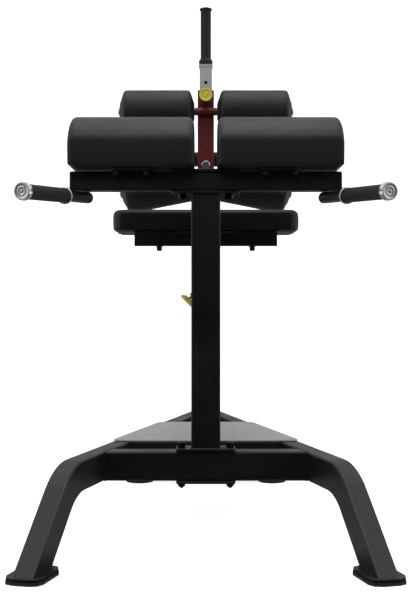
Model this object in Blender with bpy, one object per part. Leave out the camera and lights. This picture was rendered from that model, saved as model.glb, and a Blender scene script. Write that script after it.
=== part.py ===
"""Glute ham developer: a floor-standing bench on a splayed tube base.

Metres, +Z up, +X to the right of someone who stands in front of the thigh pads, +Y from the thigh
pads towards the ankle rollers. Shapes are worked out from the front face of the front upright, and
the empty named machine then puts the origin under the middle of the whole machine.
"""

from math import atan, atan2, cos, pi, radians, sin, sqrt, tan

import bmesh
import bpy
from mathutils import Vector

# Clearances
GAP = 0.0003
HOLE_PLAY = 0.0003
TUBE_WALL = 0.003
TUBE_CORNER = 0.004
WELD_DEPTH = 0.001
CUTTER_OVERRUN = 0.010

# Base rails: one bent tube a side, level at the back and a splayed leg at the front
RAIL_WIDTH = 0.050
RAIL_HEIGHT = 0.075
RAIL_TOP = 0.228
RAIL_OUTER_X = 0.3120
RAIL_SPLAY = atan(0.258)
RAIL_REAR_Y = 1.003
REAR_CUT_LENGTH = 0.200
LEG_DROP = radians(41.5)
LEG_CORNER_Y = -0.205
LEG_BEND_RADIUS = 0.170
LEG_BEND_STEPS = 7

# Feet
FOOT_PLATE_THICKNESS = 0.008
FOOT_RUBBER_THICKNESS = 0.008
FOOT_LENGTH = 0.1358
FOOT_WIDTH = 0.089
FOOT_CORNER = 0.026
REAR_FOOT_RADIUS = 0.047
REAR_FOOT_HEIGHT = 0.020
REAR_FOOT_X = 0.224

# Rear stabiliser and the post that carries the rails on it
STABILISER_HALF_LENGTH = 0.270
STABILISER_DEPTH = 0.075
STABILISER_HEIGHT = 0.050
STABILISER_INSET = 0.097  # from the rails' rear end to the middle of the stabiliser
STABILISER_Y = RAIL_REAR_Y - STABILISER_INSET
REAR_LEG_WIDTH = 0.075
REAR_LEG_DEPTH = 0.060
END_PLATE_THICKNESS = 0.005
VENT_RADIUS = 0.005

# Cross-members and step platform
CROSSMEMBER_DEPTH = 0.060
PLATFORM_FRONT_Y = 0.205
PLATFORM_REAR_Y = 0.633
PLATFORM_THICKNESS = 0.005
PLATFORM_EDGE = 0.001
PLATFORM_CORNER = 0.012
BEARER_HEIGHT = 0.050
FRONT_BEARER_DEPTH = 0.075
FRONT_BEARER_Y = 0.2435
REAR_BEARER_DEPTH = 0.050
REAR_BEARER_Y = 0.555
PLATFORM_SCREW_X = 0.082
PLATFORM_SCREW_RADIUS = 0.004
PLATFORM_SCREW_LENGTH = 0.018
SCREW_HEAD_RADIUS = 0.0072

# Front upright, its flanges and the cross beam that it carries
UPRIGHT_WIDTH = 0.075
UPRIGHT_DEPTH = 0.060
FLANGE_OVERHANG = 0.006
BASE_FLANGE_WIDTH = 0.153
BASE_FLANGE_THICKNESS = 0.0077
CLAMP_PLATE_THICKNESS = 0.0067
TOP_FLANGE_WIDTH = 0.176
TOP_FLANGE_THICKNESS = 0.006
TOP_PLATE_THICKNESS = 0.006
BEAM_UNDERSIDE = 0.899
BEAM_HEIGHT = 0.050
BEAM_DEPTH = 0.050
BEAM_HALF_LENGTH = 0.3465
PLUG_DEPTH = 0.012
BASE_BOLT_X = 0.063
TOP_BOLT_X = 0.061
FLANGE_BOLT_RADIUS = 0.006
NUT_HEIGHT = 0.010
NUT_ACROSS_FLATS = 0.019
WASHER_RADIUS = 0.0115
WASHER_THICKNESS = 0.002
BASE_BOLT_TAIL = 0.003
TOP_BOLT_TAIL = 0.003
COUNTERSINK_RADIUS = 0.011

# Thigh pads: a crowned pad each side of the mast, on a plywood board
PAD_INNER_X = 0.0295
PAD_OUTER_X = 0.3505
PAD_FRONT_Y = -0.057
PAD_REAR_Y = 0.173
PAD_HEIGHT = 0.1395
PAD_CROWN_RADIUS = 0.132
PAD_SHOULDER_RADIUS = 0.014
PAD_END_ROUNDING = 0.015
PAD_END_DROP = 0.025
PAD_END_DRAW_IN = 0.010
PAD_BOTTOM_RADIUS = 0.004
PAD_BOARD_THICKNESS = 0.012
PAD_BOARD_MARGIN = 0.014
PAD_BOARD_CORNER = 0.012
PAD_PLATE_X = 0.190
PAD_PLATE_WIDTH = 0.101
PAD_PLATE_FRONT_Y = -0.039
PAD_PLATE_REAR_Y = 0.155
PAD_PLATE_THICKNESS = 0.006
PAD_BOLT_SPREAD_X = 0.038
PAD_BOLT_INSET_Y = 0.014
PAD_BOLT_RADIUS = 0.004
PAD_BOLT_HEAD_HEIGHT = 0.012
PAD_BOLT_ACROSS_FLATS = 0.013
PAD_BOLT_GRIP = 0.008

# Handle bars under the ends of the beam
HANDLE_RADIUS = 0.015
HANDLE_WALL = 0.0025
HANDLE_REAR_X = 0.298
HANDLE_REAR_Y = 0.047
HANDLE_TURN_OUT = radians(24.2)
HANDLE_FALL = radians(1.75)
HANDLE_LENGTH = 0.318
GRIP_RADIUS = 0.0185
GRIP_START = 0.138
GRIP_TO_BAR_END = 0.008
GRIP_LENGTH = HANDLE_LENGTH - GRIP_TO_BAR_END - GRIP_START
COLLAR_RADIUS = 0.0222
COLLAR_LENGTH = 0.009
HANDLE_CAP_RADIUS = 0.0205
HANDLE_CAP_LENGTH = 0.008

# Slide boom: a square tube set on edge, from the front upright to the rear upright
BOOM_SIZE = 0.050
BOOM_Z = 0.671
BOOM_HOLE_PITCH = 0.050
BOOM_HOLES = 5
REAR_UPRIGHT_Y = 0.905
REAR_UPRIGHT_DEPTH = 0.060
REAR_UPRIGHT_TOP = 0.735
REAR_PLATE_WIDTH = 0.100
REAR_PLATE_OVERHANG = 0.015
REAR_PLATE_THICKNESS = 0.0077

# Knee pad and its bracket on the boom
KNEE_PAD_HALF_WIDTH = 0.2575
KNEE_PAD_FRONT_Y = 0.210
KNEE_PAD_REAR_Y = 0.428
KNEE_PAD_HEIGHT = 0.063
KNEE_PAD_CROWN = 0.003
KNEE_PAD_CORNER = 0.030
KNEE_PAD_ROUNDING = 0.016
KNEE_PAD_LOWER_ROUNDING = 0.006
KNEE_BOARD_THICKNESS = 0.010
KNEE_BOARD_MARGIN = 0.012
KNEE_BRACKET_TOP = 0.807
KNEE_BRACKET_SIZE = 0.040
KNEE_BRACKET_HALF_LENGTH = 0.197
KNEE_BRACKET_Y = 0.230
KNEE_SPINE_END_Y = 0.400
KNEE_RISER_SIZE = 0.050
KNEE_BOLT_X = 0.129
KNEE_BOLT_Y = 0.378
KNEE_BOLT_DEPTH = 0.006

# Carriage on the boom and the mast that it carries
CARRIAGE_SIZE = 0.062
CARRIAGE_WALL = 0.0035
CARRIAGE_LENGTH = 0.120
MAST_Y = 0.566
MAST_SIZE = 0.038
MAST_TOP = 1.339
MAST_SOCKET_SIZE = 0.050
MAST_SOCKET_TOP = 0.800
MAST_HOLE_PITCH = 0.050
MAST_HOLES_BELOW = 2
MAST_HOLES_ABOVE = 1
MAST_CAP_THICKNESS = 0.006
MAST_CAP_SIZE = 0.040
STEM_RADIUS = 0.008
MAST_GRIP_RADIUS = 0.0148
MAST_GRIP_LENGTH = 0.174
MAST_GRIP_FLANGE_RADIUS = 0.0195
MAST_GRIP_COLLAR_RADIUS = 0.0225
MAST_GRIP_COLLAR_LENGTH = 0.019

# Ankle unit on the mast
SLEEVE_SIZE = 0.050
SLEEVE_BOTTOM = 0.990
SLEEVE_TOP = 1.258
SLEEVE_HOLE_Z = 1.073
SLEEVE_HOLE_RADIUS = 0.003
CLAMP_SCREW_Z = 1.029
CLAMP_SCREW_RADIUS = 0.005
CLAMP_SCREW_HEAD_RADIUS = 0.013
BOSS_RADIUS = 0.012
BOSS_HALF_LENGTH = 0.034
AXLE_RADIUS = 0.0085
UPPER_AXLE_Z = 1.191
LOWER_AXLE_Z = 0.9908
LOWER_AXLE_FALL = radians(11.2)
ROLLER_RADIUS = 0.0645
ROLLER_LENGTH = 0.2275
ROLLER_BORE_PLAY = 0.0006
AXLE_CAP_RADIUS = 0.013
AXLE_CAP_LENGTH = 0.005
FOOT_BAR_RADIUS = 0.023
FOOT_BAR_HALF_LENGTH = 0.235
FOOT_BAR_Y = 0.690
FOOT_BAR_Z = 1.065
FOOT_BRACKET_THICKNESS = 0.006
FOOT_BRACKET_X = 0.019
FOOT_BRACKET_HEIGHT = 0.056

# Pull pins
HEIGHT_PIN_Z = 1.233
HEIGHT_PIN_RADIUS = 0.0045
HEIGHT_BARREL_LENGTH = 0.042
HEIGHT_KNOB_RADIUS = 0.020
HEIGHT_KNOB_STANDOFF = 0.010
CARRIAGE_PIN_RADIUS = 0.005
CARRIAGE_BARREL_LENGTH = 0.030
CARRIAGE_KNOB_RADIUS = 0.025
CARRIAGE_KNOB_STANDOFF = 0.009
BARREL_RADIUS = 0.0095
KNOB_THICKNESS = 0.016

# Facets of round pieces
BOLT_SIDES = 12
TUBE_SIDES = 16
ROLLER_SIDES = 24
KNOB_SIDES = 16

RIGHT = Vector((1, 0, 0))
BACK = Vector((0, 1, 0))
UP = Vector((0, 0, 1))


# Clearing the scene

for leftover in list(bpy.data.objects):
    bpy.data.objects.remove(leftover, do_unlink=True)


# Materials

def linear(value):
    return value / 12.92 if value <= 0.04045 else ((value + 0.055) / 1.055) ** 2.4


def finish(name, colour, roughness, metallic=0.0):
    material = bpy.data.materials.new(name)
    material.use_nodes = True
    shader = material.node_tree.nodes["Principled BSDF"]
    red, green, blue = (linear(int(colour[i : i + 2], 16) / 255) for i in (0, 2, 4))
    shader.inputs["Base Color"].default_value = (red, green, blue, 1.0)
    shader.inputs["Roughness"].default_value = roughness
    shader.inputs["Metallic"].default_value = metallic
    material.diffuse_color = (red, green, blue, 1.0)
    return material


BLACK_COAT = finish("black_powder_coat", "1B1B1C", 0.5)
RED_COAT = finish("dark_red_powder_coat", "471A1D", 0.4)
SILVER_COAT = finish("silver_powder_coat", "9A9A9A", 0.45)
PLATFORM_COAT = finish("grey_powder_coat", "A8A8A8", 0.55)
CHROME = finish("chrome", "D5D5D5", 0.12, 1.0)
ZINC = finish("zinc_plate", "A5A7A8", 0.35, 1.0)
BLACK_BOLT = finish("black_oxide", "222222", 0.4, 0.6)
BLACK_VINYL = finish("black_vinyl", "242424", 0.45)
PLYWOOD = finish("plywood", "A98B5D", 0.7)
RUBBER = finish("black_rubber", "1E1E1E", 0.8)
FOAM = finish("foam_rubber", "2B2B2B", 0.6)
BLACK_PLASTIC = finish("black_plastic", "202020", 0.5)
YELLOW_PLASTIC = finish("yellow_plastic", "C8B83C", 0.4)


# Rings of points, and the skins drawn through them

def round_ring(centre, across, up, radius, sides):
    """A circle round centre, in the plane of across and up."""
    turns = (2 * pi * i / sides for i in range(sides))
    return [centre + across * (radius * cos(a)) + up * (radius * sin(a)) for a in turns]


def hexagon_ring(centre, across, up, across_flats, sides=BOLT_SIDES):
    """A hexagon whose sides each have a point in the middle, so that it joins a circle of 12."""
    points = []
    for i in range(sides):
        a = 2 * pi * i / sides
        reach = across_flats / 2 if i % 2 else across_flats / sqrt(3)
        points.append(centre + across * (reach * cos(a)) + up * (reach * sin(a)))
    return points


def box_ring(centre, across, up, half_across, half_up, corner, steps=3):
    """A rectangle with round corners, in the plane of across and up."""
    points = []
    corner = min(corner, half_across * 0.99, half_up * 0.99)
    for quarter, (sx, sy) in enumerate([(1, 1), (-1, 1), (-1, -1), (1, -1)]):
        for i in range(steps):
            a = pi / 2 * (quarter + i / (steps - 1))
            x = sx * (half_across - corner) + corner * cos(a)
            y = sy * (half_up - corner) + corner * sin(a)
            points.append(centre + across * x + up * y)
    return points


def polygon_ring(corners, height, radius, steps=3):
    """A polygon at one height, with each corner rounded."""
    points = []
    for i, corner in enumerate(corners):
        before = (corners[i - 1] - corner).normalized()
        after = (corners[(i + 1) % len(corners)] - corner).normalized()
        half_angle = before.angle(after) / 2
        reach = radius / tan(half_angle)
        start = corner + before * reach
        end = corner + after * reach
        middle = corner + (before + after).normalized() * (radius / sin(half_angle))
        for k in range(steps):
            share = k / (steps - 1)
            out = (start - middle) * (1 - share) + (end - middle) * share
            spot = middle + out.normalized() * radius
            points.append(Vector((spot.x, spot.y, height)))
    return points


def skin(rings, closed=False):
    """Faces through the rings in order. A closed skin returns to its first ring; an open one gets ends."""
    count = len(rings[0])
    points = [point for ring in rings for point in ring]
    faces = []
    for i in range(len(rings) - (0 if closed else 1)):
        low, high = i * count, (i + 1) % len(rings) * count
        for k in range(count):
            n = (k + 1) % count
            faces.append((low + k, low + n, high + n, high + k))
    if not closed:
        faces.append(tuple(reversed(range(count))))
        faces.append(tuple(range(len(points) - count, len(points))))
    return points, faces


def bored(outer, inner):
    """One skin over the outer rings and back through the inner ones."""
    return skin(outer + inner[::-1], closed=True)


EMPTIES = {}


def hold(name, spot, parent=None):
    """An empty at a joint or reference point, which carries the pieces placed from it."""
    empty = bpy.data.objects.new(name, None)
    bpy.context.scene.collection.objects.link(empty)
    empty.parent = parent
    EMPTIES[empty] = Vector(spot)
    empty.location = Vector(spot) - (EMPTIES[parent] if parent else Vector())
    return empty


MACHINE = hold("machine", (0, 0, 0))


def piece(name, material, skins, origin=(0, 0, 0), parent=None, smooth=30):
    """One object made of one or more closed skins, with its own origin, on its parent."""
    parent = parent or MACHINE
    origin = Vector(origin)
    points, faces = [], []
    for skin_points, skin_faces in skins:
        start = len(points)
        points += [point - origin for point in skin_points]
        faces += [tuple(start + i for i in face) for face in skin_faces]
    mesh = bpy.data.meshes.new(name)
    mesh.from_pydata([tuple(point) for point in points], [], faces)
    mesh.validate()
    mesh.update()
    obj = bpy.data.objects.new(name, mesh)
    bpy.context.scene.collection.objects.link(obj)
    face_out(obj)
    mesh.shade_smooth()
    mesh.set_sharp_from_angle(angle=radians(smooth))
    mesh.materials.append(material)
    obj.parent = parent
    obj.location = origin - EMPTIES[parent]
    return obj


def face_out(obj):
    """Turns every face of a closed mesh outwards."""
    shape = bmesh.new()
    shape.from_mesh(obj.data)
    bmesh.ops.recalc_face_normals(shape, faces=shape.faces)
    shape.to_mesh(obj.data)
    shape.free()


def combine(target, skins, label, operation):
    """Joins the skins to the target, or takes them away from it, with a Boolean."""
    helper = piece(f"{target.name}_{label}", BLACK_COAT, skins)
    helper.hide_render = True
    helper.display_type = "WIRE"
    modifier = target.modifiers.new(label, "BOOLEAN")
    modifier.operation = operation
    modifier.solver = "EXACT"
    modifier.object = helper


def cut(target, skins, label):
    combine(target, skins, label, "DIFFERENCE")


def weld(target, skins, label):
    combine(target, skins, label, "UNION")


# Stock shapes

def across_of(axis):
    """Two directions square to the axis and to each other."""
    helper = UP if abs(axis.z) < 0.9 else BACK
    across = axis.cross(helper).normalized()
    return across, across.cross(axis).normalized()


def rod(start, axis, stations, sides=TUBE_SIDES, turn=0.0):
    """A turned solid: stations are (distance along the axis, radius), or (distance, flats, 'hex')."""
    across, up = across_of(axis)
    across, up = across * cos(turn) + up * sin(turn), up * cos(turn) - across * sin(turn)
    rings = []
    for station in stations:
        centre = start + axis * station[0]
        if len(station) == 3:
            rings.append(hexagon_ring(centre, across, up, station[1], sides))
        else:
            rings.append(round_ring(centre, across, up, station[1], sides))
    return skin(rings)


def sleeve(start, axis, stations, bore, sides=TUBE_SIDES):
    """A turned solid with a round bore right through it."""
    across, up = across_of(axis)
    outer = [round_ring(start + axis * t, across, up, r, sides) for t, r in stations]
    ends = (stations[0][0], stations[-1][0])
    inner = [round_ring(start + axis * t, across, up, bore, sides) for t in ends]
    return bored(outer, inner)


def box_tube(frames, width, height, wall=TUBE_WALL, corner=TUBE_CORNER, steps=3):
    """A rectangular tube with open ends, swept through frames of (centre, across, up)."""
    outer = [box_ring(c, a, u, width / 2, height / 2, corner, steps) for c, a, u in frames]
    inner_corner = max(corner - wall, 0.0015)
    inner = [
        box_ring(c, a, u, width / 2 - wall, height / 2 - wall, inner_corner, steps)
        for c, a, u in frames
    ]
    return outer, inner


def straight_tube(start, end, across, up, width, height, wall=TUBE_WALL, corner=TUBE_CORNER):
    return bored(*box_tube([(start, across, up), (end, across, up)], width, height, wall, corner))


def slab(low, axis, across, up, half_across, half_up, thickness, corner, chamfer=0.0008):
    """A plate with round corners and broken edges. low is the middle of its lower face."""
    rings = []
    for height, inset in ((0, chamfer), (chamfer, 0), (thickness - chamfer, 0), (thickness, chamfer)):
        rings.append(
            box_ring(
                low + axis * height,
                across,
                up,
                half_across - inset,
                half_up - inset,
                max(corner - inset, 0.0004),
            )
        )
    return skin(rings)


def level_plate(x, y_front, y_rear, z, half_width, thickness, corner=0.006):
    middle = Vector((x, (y_front + y_rear) / 2, z))
    return slab(middle, UP, RIGHT, BACK, half_width, (y_rear - y_front) / 2, thickness, corner)


def drill(x, y, low, high, radius, sides=BOLT_SIDES):
    return rod(Vector((x, y, low)), UP, [(0, radius), (high - low, radius)], sides)


def through_bolt(x, y, low, high, tail, radius=FLANGE_BOLT_RADIUS, countersunk=False):
    """A bolt from high down past low, with a washer and a nut below, and a nut or flush head above."""
    nut_low = low - WASHER_THICKNESS - NUT_HEIGHT
    stations = [
        (nut_low - tail, radius * 0.85),
        (nut_low - GAP, radius),
        (nut_low, NUT_ACROSS_FLATS, "hex"),
        (nut_low + NUT_HEIGHT, NUT_ACROSS_FLATS, "hex"),
        (nut_low + NUT_HEIGHT + 0.0001, WASHER_RADIUS),
        (low - GAP, WASHER_RADIUS),
        (low - GAP + 0.0001, radius),
    ]
    if countersunk:
        stations += [
            (high - (COUNTERSINK_RADIUS - radius), radius),
            (high - 0.0005, COUNTERSINK_RADIUS - HOLE_PLAY),
            (high, COUNTERSINK_RADIUS - HOLE_PLAY),
        ]
    else:
        stations += [
            (high + GAP - 0.0001, radius),
            (high + GAP, WASHER_RADIUS),
            (high + WASHER_THICKNESS, WASHER_RADIUS),
            (high + WASHER_THICKNESS + 0.0001, NUT_ACROSS_FLATS, "hex"),
            (high + WASHER_THICKNESS + NUT_HEIGHT, NUT_ACROSS_FLATS, "hex"),
            (high + WASHER_THICKNESS + NUT_HEIGHT + 0.0012, NUT_ACROSS_FLATS * 0.42),
        ]
    return rod(Vector((x, y, 0)), UP, stations, BOLT_SIDES)


# Base rails

RAIL_BOTTOM = RAIL_TOP - RAIL_HEIGHT
RAIL_ACROSS = RAIL_WIDTH / cos(RAIL_SPLAY)
FLOOR_TOP = FOOT_RUBBER_THICKNESS + FOOT_PLATE_THICKNESS


def rail_outer_x(y):
    return RAIL_OUTER_X - tan(RAIL_SPLAY) * y


def rail_inner_x(y):
    return rail_outer_x(y) - RAIL_ACROSS


def rail_directions(side):
    forward = Vector((side * sin(RAIL_SPLAY), -cos(RAIL_SPLAY), 0))
    outward = Vector((side * cos(RAIL_SPLAY), sin(RAIL_SPLAY), 0))
    return forward, outward


def rail_origin(side):
    return Vector((side * (RAIL_OUTER_X - RAIL_ACROSS / 2), 0, RAIL_TOP - RAIL_HEIGHT / 2))


def leg_corner():
    """How far forward of the origin the rail's centre line would turn, with no bend radius."""
    return -LEG_CORNER_Y / cos(RAIL_SPLAY) - RAIL_HEIGHT / 2 * tan(LEG_DROP / 2)


def rail(name, side):
    forward, outward = rail_directions(side)
    origin = rail_origin(side)
    bend_start = leg_corner() - LEG_BEND_RADIUS * tan(LEG_DROP / 2)
    centre = origin + forward * bend_start - UP * LEG_BEND_RADIUS
    rear = -(RAIL_REAR_Y + RAIL_WIDTH / 2) / cos(RAIL_SPLAY)
    frames = [(origin + forward * rear, outward, UP)]
    for i in range(LEG_BEND_STEPS + 1):
        a = LEG_DROP * i / LEG_BEND_STEPS
        up = forward * sin(a) + UP * cos(a)
        frames.append((centre + up * LEG_BEND_RADIUS, outward, up))
    frames.append(frames[-1])
    outer, inner = box_tube(frames, RAIL_WIDTH, RAIL_HEIGHT)
    down_leg = forward * cos(LEG_DROP) - UP * sin(LEG_DROP)
    foot = FLOOR_TOP - WELD_DEPTH
    for rings in (outer, inner):
        rings[-1] = [p + down_leg * ((p.z - foot) / sin(LEG_DROP)) for p in rings[-1]]
    obj = piece(name, BLACK_COAT, [bored(outer, inner)])
    weld(obj, [front_foot(side, FOOT_RUBBER_THICKNESS, FOOT_PLATE_THICKNESS)], "foot_plate")
    cutter_low = RAIL_BOTTOM - CUTTER_OVERRUN
    cutter_height = RAIL_HEIGHT + 2 * CUTTER_OVERRUN
    middle = Vector((side * (GAP / 2 - RAIL_HEIGHT), RAIL_REAR_Y, cutter_low))
    beyond = slab(middle, UP, RIGHT, BACK, RAIL_HEIGHT, REAR_CUT_LENGTH, cutter_height, 0.0005, 0.0001)
    cut(obj, [beyond], "centre_line")
    behind = Vector((0, RAIL_REAR_Y + RAIL_WIDTH, cutter_low))
    square = slab(
        behind, UP, RIGHT, BACK, 2 * RAIL_HEIGHT, RAIL_WIDTH, cutter_height, 0.0005, 0.0001
    )
    cut(obj, [square], "rear_end")
    return obj


def front_foot_middle(side):
    forward, _ = rail_directions(side)
    drop = RAIL_TOP - RAIL_HEIGHT / 2 - FLOOR_TOP
    reach = leg_corner() + drop / tan(LEG_DROP)
    spot = rail_origin(side) + forward * reach
    return Vector((spot.x, spot.y, 0))


def front_foot(side, low, thickness, margin=0.0):
    forward, outward = rail_directions(side)
    return slab(
        front_foot_middle(side) + UP * low,
        UP,
        outward,
        forward,
        FOOT_WIDTH / 2 + margin,
        FOOT_LENGTH / 2 + margin,
        thickness,
        FOOT_CORNER,
        0.0012,
    )


SIDES = {"left": -1, "right": 1}
for word, side in SIDES.items():
    rail(f"rail_{word}", side)
    rubber = front_foot(side, 0, FOOT_RUBBER_THICKNESS - GAP, 0.001)
    piece(f"foot_rubber_{word}", RUBBER, [rubber])


# Cross-members between the rails

def crossmember(name, y_front, depth, low, height):
    """A tube from rail to rail, its ends cut along the rails' inner faces."""
    middle = Vector((0, y_front + depth / 2, low + height / 2))
    outer, inner = box_tube([(middle, BACK, UP)] * 2, depth, height)
    for rings in (outer, inner):
        for i, side in ((0, -1), (1, 1)):
            reach = GAP / cos(RAIL_SPLAY)
            rings[i] = [Vector((side * (rail_inner_x(p.y) - reach), p.y, p.z)) for p in rings[i]]
    return piece(name, BLACK_COAT, [bored(outer, inner)])


front_crossmember = crossmember(
    "front_crossmember", 0, CROSSMEMBER_DEPTH, RAIL_BOTTOM, RAIL_HEIGHT
)
front_bearer = crossmember(
    "platform_crossmember",
    FRONT_BEARER_Y - FRONT_BEARER_DEPTH / 2,
    FRONT_BEARER_DEPTH,
    RAIL_TOP - BEARER_HEIGHT,
    BEARER_HEIGHT,
)
rear_bearer = crossmember(
    "platform_bearer",
    REAR_BEARER_Y - REAR_BEARER_DEPTH / 2,
    REAR_BEARER_DEPTH,
    RAIL_TOP - BEARER_HEIGHT,
    BEARER_HEIGHT,
)


# Step platform

PLATFORM_BOTTOM = RAIL_TOP + GAP
PLATFORM_TOP = PLATFORM_BOTTOM + PLATFORM_THICKNESS
PLATFORM_SCREWS = [
    (side * PLATFORM_SCREW_X, y) for side in (-1, 1) for y in (FRONT_BEARER_Y, REAR_BEARER_Y)
]


def platform_corners(inset):
    front, rear = PLATFORM_FRONT_Y + inset, PLATFORM_REAR_Y - inset
    wide = rail_outer_x(front) - PLATFORM_EDGE - inset
    narrow = rail_outer_x(rear) - PLATFORM_EDGE - inset
    return [
        Vector((-wide, front, 0)),
        Vector((wide, front, 0)),
        Vector((narrow, rear, 0)),
        Vector((-narrow, rear, 0)),
    ]


platform = piece(
    "platform_plate",
    PLATFORM_COAT,
    [
        skin(
            [
                polygon_ring(platform_corners(0.001), PLATFORM_BOTTOM, PLATFORM_CORNER),
                polygon_ring(platform_corners(0), PLATFORM_BOTTOM + 0.001, PLATFORM_CORNER),
                polygon_ring(platform_corners(0), PLATFORM_TOP - 0.001, PLATFORM_CORNER),
                polygon_ring(platform_corners(0.001), PLATFORM_TOP, PLATFORM_CORNER),
            ]
        )
    ],
)
screw_hole = PLATFORM_SCREW_RADIUS + HOLE_PLAY
platform_drills = [
    drill(x, y, RAIL_TOP - PLATFORM_SCREW_LENGTH - 0.002, RAIL_TOP + 0.010, screw_hole)
    for x, y in PLATFORM_SCREWS
]
cut(front_bearer, [platform_drills[0], platform_drills[2]], "screw_holes")
cut(rear_bearer, [platform_drills[1], platform_drills[3]], "screw_holes")
weld(
    platform,
    [
        rod(
            Vector((x, y, PLATFORM_TOP)),
            UP,
            [
                (-PLATFORM_SCREW_LENGTH, PLATFORM_SCREW_RADIUS),
                (-WELD_DEPTH, PLATFORM_SCREW_RADIUS),
                (-WELD_DEPTH + 0.0001, SCREW_HEAD_RADIUS),
                (0.0015, SCREW_HEAD_RADIUS),
                (0.0040, SCREW_HEAD_RADIUS - 0.0030),
            ],
            8,
        )
        for x, y in PLATFORM_SCREWS
    ],
    "screws",
)


# Rear stabiliser, its feet and the post up to the rails

STABILISER_TOP = REAR_FOOT_HEIGHT + STABILISER_HEIGHT
STABILISER_Z = STABILISER_TOP - STABILISER_HEIGHT / 2
stabiliser = piece(
    "rear_stabiliser",
    BLACK_COAT,
    [
        straight_tube(
            Vector((-STABILISER_HALF_LENGTH, STABILISER_Y, STABILISER_Z)),
            Vector((STABILISER_HALF_LENGTH, STABILISER_Y, STABILISER_Z)),
            BACK,
            UP,
            STABILISER_DEPTH,
            STABILISER_HEIGHT,
        )
    ],
)
weld(
    stabiliser,
    [
        straight_tube(
            Vector((0, STABILISER_Y, STABILISER_TOP - WELD_DEPTH)),
            Vector((0, STABILISER_Y, RAIL_BOTTOM - GAP)),
            RIGHT,
            BACK,
            REAR_LEG_WIDTH,
            REAR_LEG_DEPTH,
        )
    ],
    "leg",
)
weld(
    stabiliser,
    [
        slab(
            Vector((side * STABILISER_HALF_LENGTH - side * WELD_DEPTH, STABILISER_Y, STABILISER_Z)),
            RIGHT * side,
            BACK,
            UP,
            STABILISER_DEPTH / 2 - WELD_DEPTH,
            STABILISER_HEIGHT / 2 - WELD_DEPTH,
            END_PLATE_THICKNESS,
            TUBE_CORNER - WELD_DEPTH,
        )
        for side in (-1, 1)
    ],
    "end_plates",
)
cut(
    stabiliser,
    [drill(0, STABILISER_Y, REAR_FOOT_HEIGHT - 0.004, REAR_FOOT_HEIGHT + 0.008, VENT_RADIUS)],
    "vent_hole",
)
for word, side in SIDES.items():
    foot_form = [
        (0, REAR_FOOT_RADIUS - 0.003),
        (0.003, REAR_FOOT_RADIUS),
        (REAR_FOOT_HEIGHT - 0.005, REAR_FOOT_RADIUS - 0.001),
        (REAR_FOOT_HEIGHT - GAP, REAR_FOOT_RADIUS - 0.006),
    ]
    middle = Vector((side * REAR_FOOT_X, STABILISER_Y, 0))
    piece(f"rear_foot_{word}", RUBBER, [rod(middle, UP, foot_form, ROLLER_SIDES)])

REAR_UPRIGHT_BOTTOM = RAIL_TOP + GAP + REAR_PLATE_THICKNESS - WELD_DEPTH
piece(
    "rail_end_plate",
    BLACK_COAT,
    [
        slab(
            Vector((0, RAIL_REAR_Y + GAP, RAIL_TOP - RAIL_HEIGHT / 2)),
            BACK,
            RIGHT,
            UP,
            rail_outer_x(RAIL_REAR_Y),
            RAIL_HEIGHT / 2,
            END_PLATE_THICKNESS,
            TUBE_CORNER,
        )
    ],
)
rear_upright = piece(
    "rear_upright",
    BLACK_COAT,
    [
        straight_tube(
            Vector((0, REAR_UPRIGHT_Y + REAR_UPRIGHT_DEPTH / 2, REAR_UPRIGHT_BOTTOM)),
            Vector((0, REAR_UPRIGHT_Y + REAR_UPRIGHT_DEPTH / 2, REAR_UPRIGHT_TOP)),
            RIGHT,
            BACK,
            UPRIGHT_WIDTH,
            REAR_UPRIGHT_DEPTH,
        )
    ],
)
weld(
    rear_upright,
    [
        level_plate(
            0,
            REAR_UPRIGHT_Y - REAR_PLATE_OVERHANG,
            REAR_UPRIGHT_Y + REAR_UPRIGHT_DEPTH + REAR_PLATE_OVERHANG,
            RAIL_TOP + GAP,
            REAR_PLATE_WIDTH / 2,
            REAR_PLATE_THICKNESS,
        )
    ],
    "foot_plate",
)


# Front upright and its bolted flanges

BASE_FLANGE_TOP = RAIL_TOP + GAP + BASE_FLANGE_THICKNESS
TOP_FLANGE_BOTTOM = BEAM_UNDERSIDE - GAP - TOP_FLANGE_THICKNESS
BEAM_TOP = BEAM_UNDERSIDE + BEAM_HEIGHT
TOP_PLATE_TOP = BEAM_TOP + TOP_PLATE_THICKNESS
FLANGE_FRONT = -FLANGE_OVERHANG
FLANGE_REAR = UPRIGHT_DEPTH + FLANGE_OVERHANG


BASE_BOLTS = [(side * BASE_BOLT_X, CROSSMEMBER_DEPTH / 2) for side in (-1, 1)]
TOP_BOLTS = [(side * TOP_BOLT_X, BEAM_DEPTH / 2) for side in (-1, 1)]
flange_hole = FLANGE_BOLT_RADIUS + HOLE_PLAY


def flange(low, width, thickness):
    return level_plate(0, FLANGE_FRONT, FLANGE_REAR, low, width / 2, thickness)


front_upright = piece(
    "front_upright",
    BLACK_COAT,
    [
        straight_tube(
            Vector((0, UPRIGHT_DEPTH / 2, BASE_FLANGE_TOP - WELD_DEPTH)),
            Vector((0, UPRIGHT_DEPTH / 2, TOP_FLANGE_BOTTOM + WELD_DEPTH)),
            RIGHT,
            BACK,
            UPRIGHT_WIDTH,
            UPRIGHT_DEPTH,
        )
    ],
)
weld(
    front_upright,
    [
        flange(RAIL_TOP + GAP, BASE_FLANGE_WIDTH, BASE_FLANGE_THICKNESS),
        flange(TOP_FLANGE_BOTTOM, TOP_FLANGE_WIDTH, TOP_FLANGE_THICKNESS),
    ],
    "flanges",
)
vent_low, vent_high = RAIL_TOP - 0.004, BASE_FLANGE_TOP + 0.004
cut(front_upright, [drill(0, UPRIGHT_DEPTH / 2, vent_low, vent_high, VENT_RADIUS)], "vent_hole")
CLAMP_PLATE_LOW = RAIL_BOTTOM - GAP - CLAMP_PLATE_THICKNESS
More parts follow.
